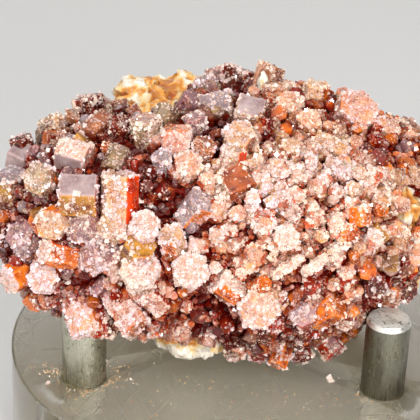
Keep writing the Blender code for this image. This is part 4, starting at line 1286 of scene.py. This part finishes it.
def makeGrains(name, kind, seed):
    look = grains[kind]
    seeds = np.random.default_rng(seed)
    spots, normals, chosen = grainSpots(look["perPiece"], seeds)
    low, high = look["width"]
    widths = (low + (high - low) * seeds.beta(1.6, 2.4, len(spots))) * mm
    axes = unit(normals + seeds.normal(0, 0.8, normals.shape))
    body = allTints[allTriangles[chosen, 0]]
    near = zoneOf(spots)
    rim = allEdges[allTriangles[chosen]].mean(axis=1)
    white = look["whites"] - 0.1 + zoneWhite[near] + 0.5 * rim + 0.12 * normals[:, 2]
    share = np.where(seeds.random(len(spots)) < white, seeds.uniform(0.86, 1.0, len(spots)),
                     seeds.uniform(0.15, 0.65, len(spots)))[:, None]
    drift = np.array([noise.noise(Vector(spot) * 160.0) for spot in spots])
    cool = np.clip(drift + zoneCool[near], 0, 1)[:, None]
    tints = body * (1 - share) + (warmWhite * (1 - cool) + coolWhite * cool) * share
    height = allHeights[allTriangles[chosen, 0]]
    # Low grains take a lighter copy of the crystal's colour, a painted glow, and grains in gaps the dark red
    # painted shade
    low = np.clip(0.9 - height + zoneOpen[near], 0.0, 1.0)[:, None] * grains["paintedLowGlow"]
    tints = tints * (1 - low) + np.minimum(body * 1.5 + 0.02, 0.9) * low
    gapShadeShare = np.clip(0.9 - height, 0.0, 1.0)[:, None] * grains["paintedShadeInGaps"]
    paintedGapShadeAndGlow = np.array(paint(crystalLook["paintedShadeRed"])) * 0.5 + body * paint(crystalLook["paintedShadeTint"]) * 0.5
    sugary = np.clip((allSugars[allTriangles[chosen, 0]] - 0.6) / 0.3, 0.0, 1.0)[:, None]
    paintedGapShadeAndGlow = paintedGapShadeAndGlow * (1 - sugary) + body * paint(crystalLook["paintedSugaryGlow"]) * sugary
    tints = tints * (1 - gapShadeShare) + paintedGapShadeAndGlow * gapShadeShare
    heap = Heap()
    draw = random.Random(seed)
    groups = seeds.integers(0, 4, len(spots))
    for group in range(4):
        mine = groups == group
        placed, triangles = plant(grainTemplate(kind, draw), spots[mine], axes[mine], widths[mine],
                                  widths[mine] * seeds.uniform(0.8, 1.4, mine.sum()), seeds)
        addPlanted(heap, placed, triangles, tint=tints[mine])
    points, triangles, values = heap.joined()
    return meshPiece(name, points, triangles, sugarMaterial, values)


sugarPieces = [
    makeGrains(f"{kind}Sugar{index + 1}", kind, grains["seed"] + index + len(kind))
    for kind in ("coarse", "fine")
    for index in range(grains[kind]["pieces"])
]
print("sugar scattered")


# Host rock, fused from the lump moved back and the lobes that show between the crystals

rock = {
    "back": 2.4,
    "lessDepth": 1.2,
    "lessHeight": 2.4,
    "lessLength": 3.0,
    "voxel": 0.48,
    "swell": 0.5,         # broad unevenness
    "blocks": 0.75,       # broken faces of about 3 mm
    "chips": 0.45,        # and of about 1 mm
    "crumbs": 0.10,       # crumbly skin
    "stain": -0.12,       # of the rock away from the lobes
}


def makeRockMaterial():
    material, tree, shader, place = newMaterial("hostRock")
    stain = noiseMask(tree, place, 170.0, 5.0, 0.65)
    spots = noiseMask(tree, place, 1100.0, 4.0, 0.65)
    rise = readAttribute(tree, "rise")
    tone = doMath(tree, "ADD", doMath(tree, "MULTIPLY", stain, 0.9), rise)
    ramp = addNode(tree, "ShaderNodeValToRGB")
    plug(tree, tone, ramp.inputs[0])
    stops = ((0.24, "#f0e8da"), (0.36, "#ecca8c"), (0.47, "#e0983e"), (0.66, "#a85a28"))
    for index, (position, code) in enumerate(stops):
        stop = ramp.color_ramp.elements[index] if index < 2 else ramp.color_ramp.elements.new(position)
        stop.position = position
        stop.color = (*paint(code), 1.0)
    dark = remap(tree, spots, 0.56, 0.72, 0.0, 0.65)
    colour = mixColour(tree, dark, ramp.outputs[0], paint("#7a5230"))
    coat = useSugar(tree, place, 2600.0, 0.3)
    colour = mixColour(tree, doMath(tree, "MULTIPLY", coat["Mask"], 0.3), colour, paint("#efe2cc"))
    height = doMath(tree, "ADD", doMath(tree, "MULTIPLY", spots, 0.6),
                    doMath(tree, "MULTIPLY", coat["Height"], 0.4))
    plug(tree, colour, shader.inputs["Base Color"])
    plug(tree, remap(tree, spots, 0.3, 0.7, 0.45, 0.8), shader.inputs["Roughness"])
    plug(tree, bumpFrom(tree, height, 0.7, 0.0003), shader.inputs["Normal"])
    return material


def lobeStain(spot):
    for middle, radii, stain in lobes:
        away = spot - Vector(middle) - Vector((0, 0, base["thickness"]))
        if Vector((away.x / radii[0], away.y / radii[1], away.z / radii[2])).length < 1.35:
            return stain
    return None


def applied(obj):
    graph = bpy.context.evaluated_depsgraph_get()
    mesh = bpy.data.meshes.new_from_object(obj.evaluated_get(graph))
    obj.modifiers.clear()
    obj.data = mesh
    return obj


def facetsAt(spot, perMm):
    where = spot * perMm + Vector((4.0, 0.0, 9.0))
    cell = noise.voronoi(where)[1][0]
    tilt = noise.cell_vector(cell * 13.7) - Vector((0.5, 0.5, 0.5))
    step = noise.cell(cell * 7.3) - 0.5
    return step * 0.5 + (where - cell).dot(tilt) * 1.6, step


def roughRock(spot):
    swell = noise.fractal(spot * 0.16, 1.0, 2.0, 3) * rock["swell"]
    blocks, step = facetsAt(spot, 0.30)
    chips, _ = facetsAt(spot, 0.75)
    crumbs = noise.noise(spot * 1.6)
    lift = swell + blocks * rock["blocks"] + chips * rock["chips"] + crumbs * rock["crumbs"]
    return lift, step * 0.8 + chips


def makeRock():
    bm = lumpMesh(5, back=rock["back"], lessDepth=rock["lessDepth"], lessHeight=rock["lessHeight"],
                  lessLength=rock["lessLength"])
    for middle, radii, _ in lobes:
        place = Matrix.Translation((Vector(middle) + Vector((0, 0, base["thickness"]))) * mm)
        size = Matrix.Diagonal([radius * mm for radius in radii]).to_4x4()
        bmesh.ops.create_icosphere(bm, subdivisions=4, radius=1.0, matrix=place @ size)
    mesh = bpy.data.meshes.new("hostRockSurface")
    bm.to_mesh(mesh)
    bm.free()
    obj = bpy.data.objects.new("hostRockSurface", mesh)
    bpy.context.scene.collection.objects.link(obj)
    remesh = obj.modifiers.new("fuse", "REMESH")
    remesh.mode = "VOXEL"
    remesh.voxel_size = rock["voxel"] * mm
    applied(obj)
    mesh = obj.data
    moves = []
    rises = []
    shares = bareShare([vert.co for vert in mesh.vertices])
    for vert, share in zip(mesh.vertices, shares):
        lift, rise = roughRock(vert.co / mm)
        stain = lobeStain(vert.co / mm)
        if stain is None:
            lift += share * bareRock["swell"]
            stain = rock["stain"] - share * 0.12
        moves.append(vert.co + vert.normal * lift * mm)
        rises.append(stain - rise * 0.22)
    points = np.clip(keepOffStand(np.array(moves)), lowCorner, highCorner)
    mesh.vertices.foreach_set("co", points.astype(np.float32).ravel())
    mesh.update()
    mesh.shade_smooth()
    mesh.set_sharp_from_angle(angle=math.radians(38))
    layer = mesh.attributes.new(name="rise", type="FLOAT", domain="POINT")
    layer.data.foreach_set("value", np.array(rises, np.float32))
    mesh.materials.clear()
    mesh.materials.append(makeRockMaterial())
    print("hostRockSurface", len(mesh.polygons), "faces")
    return obj


rockPiece = makeRock()


# Crumbs of sugar and crystal that have dropped on the base, near the left pin and in front

crumbs = {
    "seed": 77,
    "width": (0.07, 0.18),
    "golden": ("#ffe9b8", "#f2d28a", "#f0c48c", "#fff6e8"),
    "white": "#fffaf6",
    # pixel of a group's middle, how far it spreads in pixels, how many
    "groups": (((84, 384), 26, 150), ((50, 372), 16, 60), ((118, 372), 20, 60), ((104, 384), 12, 40),
               ((300, 400), 90, 60), ((160, 395), 70, 40), ((360, 398), 24, 24)),
    "lone": (((330, 381), 0.9), ((106, 362), 0.4), ((131, 380), 0.35), ((48, 384), 0.5)),
    "onCrystals": (((77, 194), 0.8), ((67, 206), 0.7), ((91, 212), 0.4), ((84, 208), 0.4), ((107, 240), 0.7),
                   ((140, 201), 0.8), ((150, 206), 0.6), ((68, 282), 0.6), ((48, 150), 0.6), ((141, 128), 0.5),
                   ((166, 163), 0.5), ((388, 292), 0.8), ((392, 300), 0.6), ((379, 305), 0.5), ((330, 300), 0.5),
                   ((345, 246), 0.8), ((299, 166), 0.7), ((277, 155), 0.7), ((268, 240), 0.9), ((282, 232), 0.8),
                   ((303, 252), 0.8), ((326, 172), 1.0), ((349, 200), 0.8), ((191, 262), 0.6), ((120, 283), 0.5)),
}


def onBaseTop(pixel):
    start, direction = sightline(pixel)
    return start + direction * ((base["thickness"] * mm - start.z) / direction.z)


def makeCrumbs():
    draw = random.Random(crumbs["seed"])
    seeds = np.random.default_rng(crumbs["seed"])
    spots = []
    for middle, spread, count in crumbs["groups"]:
        for _ in range(count):
            pixel = (middle[0] + draw.gauss(0, spread / 2), middle[1] + draw.gauss(0, spread / 4))
            spots.append((pixel, draw.uniform(*crumbs["width"]), draw.choice(crumbs["golden"])))
    spots += [(pixel, width, crumbs["white"]) for pixel, width in crumbs["lone"]]
    places, widths, tints = [], [], []
    for pixel, width, tint in spots:
        spot = onBaseTop(pixel)
        aside = [math.hypot(spot.x / mm - pins["circle"] * math.cos(math.radians(angle)),
                            spot.y / mm - pins["circle"] * math.sin(math.radians(angle)))
                 for angle in pins["angles"].values()]
        if min(aside) > pins["radius"] + 0.5 and spot.xy.length < (base["radius"] - 0.8) * mm:
            places.append(spot + Vector((0, 0, width * 0.33 * mm)))
            widths.append(width * mm)
            tints.append(paint(tint))
    for pixel, width in crumbs["onCrystals"]:
        hit = allTree.ray_cast(*sightline(pixel))[0]
        if hit:
            places.append(hit)
            widths.append(width * mm)
            tints.append(paint(crumbs["white"]))
    heap = Heap()
    places, widths = np.array(places), np.array(widths)
    axes = unit(seeds.normal(size=places.shape))
    placed, triangles = plant(grainTemplate("coarse", draw), places, axes, widths, widths, seeds)
    addPlanted(heap, placed, triangles, tint=np.array(tints))
    points, triangles, values = heap.joined()
    return meshPiece("fallenCrumbs", points, triangles, sugarMaterial, values)


crumbPiece = makeCrumbs()


# Stand

def makeScratchGroup():
    group = bpy.data.node_groups.new("fineScratches", "ShaderNodeTree")
    for name, kind, start in (
        ("Place", "NodeSocketVector", None),
        ("Scale", "NodeSocketFloat", 300.0),
        ("Amount", "NodeSocketFloat", 0.5),
    ):
        socket = group.interface.new_socket(name, in_out="INPUT", socket_type=kind)
        if start is not None:
            socket.default_value = start
    group.interface.new_socket("Mask", in_out="OUTPUT", socket_type="NodeSocketFloat")
    source = addNode(group, "NodeGroupInput")
    result = addNode(group, "NodeGroupOutput")
    total = None
    for turn, stretch in ((0.4, 24.0), (1.9, 32.0), (2.7, 18.0)):
        mapping = addNode(group, "ShaderNodeMapping", vector_type="TEXTURE")
        mapping.inputs["Rotation"].default_value = (0.0, 0.0, turn)
        mapping.inputs["Scale"].default_value = (1.0, stretch, 1.0)
        plug(group, source.outputs["Place"], mapping.inputs["Vector"])
        wisps = addNode(group, "ShaderNodeTexNoise")
        plug(group, mapping.outputs[0], wisps.inputs["Vector"])
        plug(group, source.outputs["Scale"], wisps.inputs["Scale"])
        wisps.inputs["Detail"].default_value = 3.0
        line = doMath(group, "ABSOLUTE", doMath(group, "SUBTRACT", wisps.outputs["Fac"], 0.5))
        line = remap(group, line, 0.0, 0.006, 1.0, 0.0)
        total = line if total is None else doMath(group, "MAXIMUM", total, line)
    patches = noiseMask(group, source.outputs["Place"], 90.0, 2.0)
    faded = doMath(group, "MULTIPLY", total, remap(group, patches, 0.40, 0.58))
    plug(group, doMath(group, "MULTIPLY", faded, source.outputs["Amount"]), result.inputs["Mask"])
    return group


scratchGroup = makeScratchGroup()


def useScratches(tree, place, scale, amount):
    node = addNode(tree, "ShaderNodeGroup", node_tree=scratchGroup)
    plug(tree, place, node.inputs["Place"])
    node.inputs["Scale"].default_value = scale
    node.inputs["Amount"].default_value = amount
    return node.outputs["Mask"]


def makeAcrylic(name, rough, scratch, clear=1.0):
    material, tree, shader, place = newMaterial(name)
    mask = useScratches(tree, place, 260.0, scratch)
    haze = noiseMask(tree, place, 60.0, 4.0)
    dull = doMath(tree, "ADD", remap(tree, haze, 0.4, 0.7, rough, rough + 0.06),
                  doMath(tree, "MULTIPLY", mask, 0.35))
    plug(tree, dull, shader.inputs["Roughness"])
    plug(tree, bumpFrom(tree, mask, 0.3, 0.00005), shader.inputs["Normal"])
    shader.inputs["Base Color"].default_value = (*paint("#fbf9f2"), 1.0)
    shader.inputs["Transmission Weight"].default_value = clear
    shader.inputs["IOR"].default_value = 1.49
    absorb = addNode(tree, "ShaderNodeVolumeAbsorption")
    absorb.inputs["Color"].default_value = (*paint("#e9e2c8"), 1.0)
    absorb.inputs["Density"].default_value = 5.0
    plug(tree, absorb.outputs[0], tree.nodes["Material Output"].inputs["Volume"])
    return material


def turned(name, profile, sides, material):
    bm = bmesh.new()
    verts = [bm.verts.new((x * mm, 0, z * mm)) for x, z in profile]
    for near, far in zip(verts, verts[1:]):
        bm.edges.new((near, far))
    bmesh.ops.spin(bm, geom=bm.verts[:] + bm.edges[:], axis=(0, 0, 1), cent=(0, 0, 0),
                   angle=math.tau, steps=sides)
    bmesh.ops.remove_doubles(bm, verts=bm.verts[:], dist=1e-6)
    bmesh.ops.recalc_face_normals(bm, faces=bm.faces[:])
    mesh = bpy.data.meshes.new(name)
    bm.to_mesh(mesh)
    bm.free()
    mesh.shade_smooth()
    mesh.set_sharp_from_angle(angle=math.radians(25))
    mesh.materials.append(material)
    obj = bpy.data.objects.new(name, mesh)
    bpy.context.scene.collection.objects.link(obj)
    return obj


def roundedCorner(x, z, radius, start, steps=5):
    for step in range(steps + 1):
        angle = math.radians(start - 90.0 * step / steps)
        yield (x + radius * math.cos(angle), z + radius * math.sin(angle))


def makeBase():
    polished = makeAcrylic("clearAcrylic", 0.05, 0.6)
    edge = base["edge"]
    radius, top = base["radius"], base["thickness"]
    profile = [(0, top)]
    profile += list(roundedCorner(radius - edge, top - edge, edge, 90.0))
    profile += [(radius, top / 2)]
    profile += list(roundedCorner(radius - edge, edge, edge, 0.0))
    profile += [(0, 0)]
    disc = turned("clearBase", profile, base["rimSides"], polished)
    bm = bmesh.new()
    floor = base["thickness"] - pins["inBase"] - pins["gap"]
    over = 1.0
    for angle in pins["angles"].values():
        turn = math.radians(angle)
        middle = Vector((math.cos(turn) * pins["circle"], math.sin(turn) * pins["circle"],
                         (floor + base["thickness"] + over) / 2)) * mm
        bmesh.ops.create_cone(bm, cap_ends=True, segments=base["holeSides"],
                              radius1=(pins["radius"] + pins["gap"] * 0.5) * mm,
                              radius2=(pins["radius"] + pins["gap"] * 0.5) * mm,
                              depth=(base["thickness"] + over - floor) * mm,
                              matrix=Matrix.Translation(middle))
    mesh = bpy.data.meshes.new("holes")
    bm.to_mesh(mesh)
    bm.free()
    drill = bpy.data.objects.new("holes", mesh)
    bpy.context.scene.collection.objects.link(drill)
    cut = disc.modifiers.new("holes", "BOOLEAN")
    cut.operation = "DIFFERENCE"
    cut.solver = "EXACT"
    cut.object = drill
    applied(disc)
    bpy.data.objects.remove(drill, do_unlink=True)
    disc.data.materials.append(makeAcrylic("drilledAcrylic", 0.35, 0.4))
    disc.data.materials.append(makeAcrylic("scuffedAcrylic", 0.16, 0.75, 0.9))
    disc.data.materials.append(makeAcrylic("frostedAcrylic", 0.50, 0.2, 0.6))
    for face in disc.data.polygons:
        out = math.hypot(face.center.x, face.center.y)
        inHole = abs(out - pins["circle"] * mm) < (pins["radius"] + 0.5) * mm and len(face.vertices) < 80
        deep = floor * mm - 0.0001 < face.center.z < top * mm - 0.0001
        if inHole and deep:
            face.material_index = 1
        elif face.normal.z > 0.9:
            face.material_index = 2
        elif face.normal.z < -0.9:
            face.material_index = 3
    return disc


def makeSteel(name, light, dull):
    material, tree, shader, place = newMaterial(name)
    brushed = addNode(tree, "ShaderNodeMapping")
    brushed.inputs["Scale"].default_value = (1.0, 1.0, 0.06)
    plug(tree, place, brushed.inputs["Vector"])
    grain = noiseMask(tree, brushed.outputs[0], 4200.0, 2.0)
    pits = noiseMask(tree, place, 1900.0, 3.0, 0.7)
    dirt = noiseMask(tree, place, 420.0, 4.0)
    dark = doMath(tree, "MULTIPLY", remap(tree, pits, 0.56, 0.66), remap(tree, dirt, 0.35, 0.6))
    colour = mixColour(tree, dark, paint(light), paint("#35332b"))
    colour = mixColour(tree, remap(tree, dirt, 0.5, 0.75, 0.0, 0.5), colour, paint("#8a8468"))
    mask = useScratches(tree, place, 900.0, 0.8)
    rough = doMath(tree, "ADD", remap(tree, grain, 0.3, 0.7, dull, dull + 0.18),
                   doMath(tree, "MULTIPLY", dark, 0.3))
    height = doMath(tree, "SUBTRACT", doMath(tree, "MULTIPLY", grain, 0.25),
                    doMath(tree, "ADD", dark, mask))
    plug(tree, colour, shader.inputs["Base Color"])
    plug(tree, rough, shader.inputs["Roughness"])
    plug(tree, bumpFrom(tree, height, 0.5, 0.00006), shader.inputs["Normal"])
    shader.inputs["Metallic"].default_value = 1.0
    return material


def makePins():
    steels = {"pin_left": makeSteel("groundSteel", "#bcbaa8", 0.2)}
    # The right and back pins take a darker copy of the same steel: painted shade
    steels["pin_right"] = steels["pin_back"] = makeSteel("shadedSteel", "#7e7c6e", 0.2)
    # The pin ends take a near-white ground steel, real grinding with a painted highlight, and the chamfer ring a
    # painted highlight
    endSteel = makeSteel("groundEndLit", "#f2f4ee", 0.62)
    ringSteel = makeSteel("highlightRing", "#fafaf6", 0.34)
    radius, top, bottom = pins["radius"], pins["aboveBase"], -pins["inBase"]
    chamferIn, chamferDown = pins["chamferIn"], pins["chamferDown"]
    profile = [
        (0, top), (radius - chamferIn - 0.1, top), (radius - chamferIn, top - 0.03),
        (radius - 0.03, top - chamferDown + 0.05), (radius, top - chamferDown - 0.05),
        (radius, bottom + chamferDown), (radius - chamferIn, bottom), (0, bottom),
    ]
    made = []
    for name, angle in pins["angles"].items():
        turn = math.radians(angle)
        pin = turned(name.split("_")[1] + "Pin", profile, pins["sides"], steels[name])
        place = Vector((math.cos(turn) * pins["circle"], math.sin(turn) * pins["circle"], base["thickness"]))
        pin.data.transform(Matrix.Translation(place * mm))
        pin.data.materials.append(endSteel)
        pin.data.materials.append(ringSteel)
        for face in pin.data.polygons:
            face.material_index = 1 if face.normal.z > 0.9 else 2 if face.normal.z > 0.2 else 0
        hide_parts(name)
        made.append(pin)
    return made


basePiece = makeBase()
pinPieces = makePins()
print("stand made")


# Floor, lights and world

def addLight(name, spot, target, size, watts, tint="#ffffff"):
    data = bpy.data.lights.new(name, "AREA")
    data.shape = "RECTANGLE"
    data.size, data.size_y = size
    data.energy = watts
    data.color = paint(tint)
    light = bpy.data.objects.new(name, data)
    light.location = spot
    light.rotation_euler = (Vector(target) - Vector(spot)).to_track_quat("-Z", "Y").to_euler()
    bpy.context.scene.collection.objects.link(light)


def makeFloor():
    mesh = bpy.data.meshes.new("floor")
    bm = bmesh.new()
    bmesh.ops.create_grid(bm, x_segments=8, y_segments=8, size=2.0)
    bm.to_mesh(mesh)
    bm.free()
    material, tree, shader, place = newMaterial("paleFloor")
    cloud = noiseMask(tree, place, 3.0, 3.0)
    plug(tree, mixColour(tree, cloud, paint("#cdcdcc"), paint("#d3d3d2")), shader.inputs["Base Color"])
    shader.inputs["Roughness"].default_value = 0.6
    mesh.materials.append(material)
    floor = bpy.data.objects.new("floor", mesh)
    floor.location.z = -0.0002
    bpy.context.scene.collection.objects.link(floor)


def makeWorld():
    world = bpy.data.worlds.new("studio")
    world.use_nodes = True
    backdrop = world.node_tree.nodes["Background"]
    backdrop.inputs["Color"].default_value = (*paint("#e0d8d2"), 1.0)
    backdrop.inputs["Strength"].default_value = 0.14
    bpy.context.scene.world = world


makeFloor()
makeWorld()
addLight("topSoftbox", (-0.10, 0.02, 0.60), (0, 0, 0.03), (0.8, 0.6), 1.85)
addLight("leftSoftbox", (-0.42, -0.25, 0.30), (0, 0, 0.03), (0.22, 0.30), 0.65, "#fffaf4")
addLight("lowSoftbox", (0.18, -0.52, 0.16), (0, 0, 0.01), (0.5, 0.2), 2.2, "#fffdfa")
addLight("backSoftbox", (0.05, 0.60, 0.25), (0, 0, 0.03), (0.5, 0.3), 0.9)
addLight("rightSpark", (0.12, -0.40, 0.38), (0, 0, 0.035), (0.06, 0.06), 1.2)
addLight("leftSpark", (-0.22, -0.30, 0.45), (0, 0, 0.035), (0.06, 0.06), 1.1)
bpy.context.scene.view_settings.view_transform = "Standard"


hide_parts("vanadinite_crystals")
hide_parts("host_rock")
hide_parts("stand_base")
for piece in (largePiece, smallPiece, bedPiece, *sugarPieces, crumbPiece, rockPiece, basePiece, *pinPieces):
    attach(piece, "root")
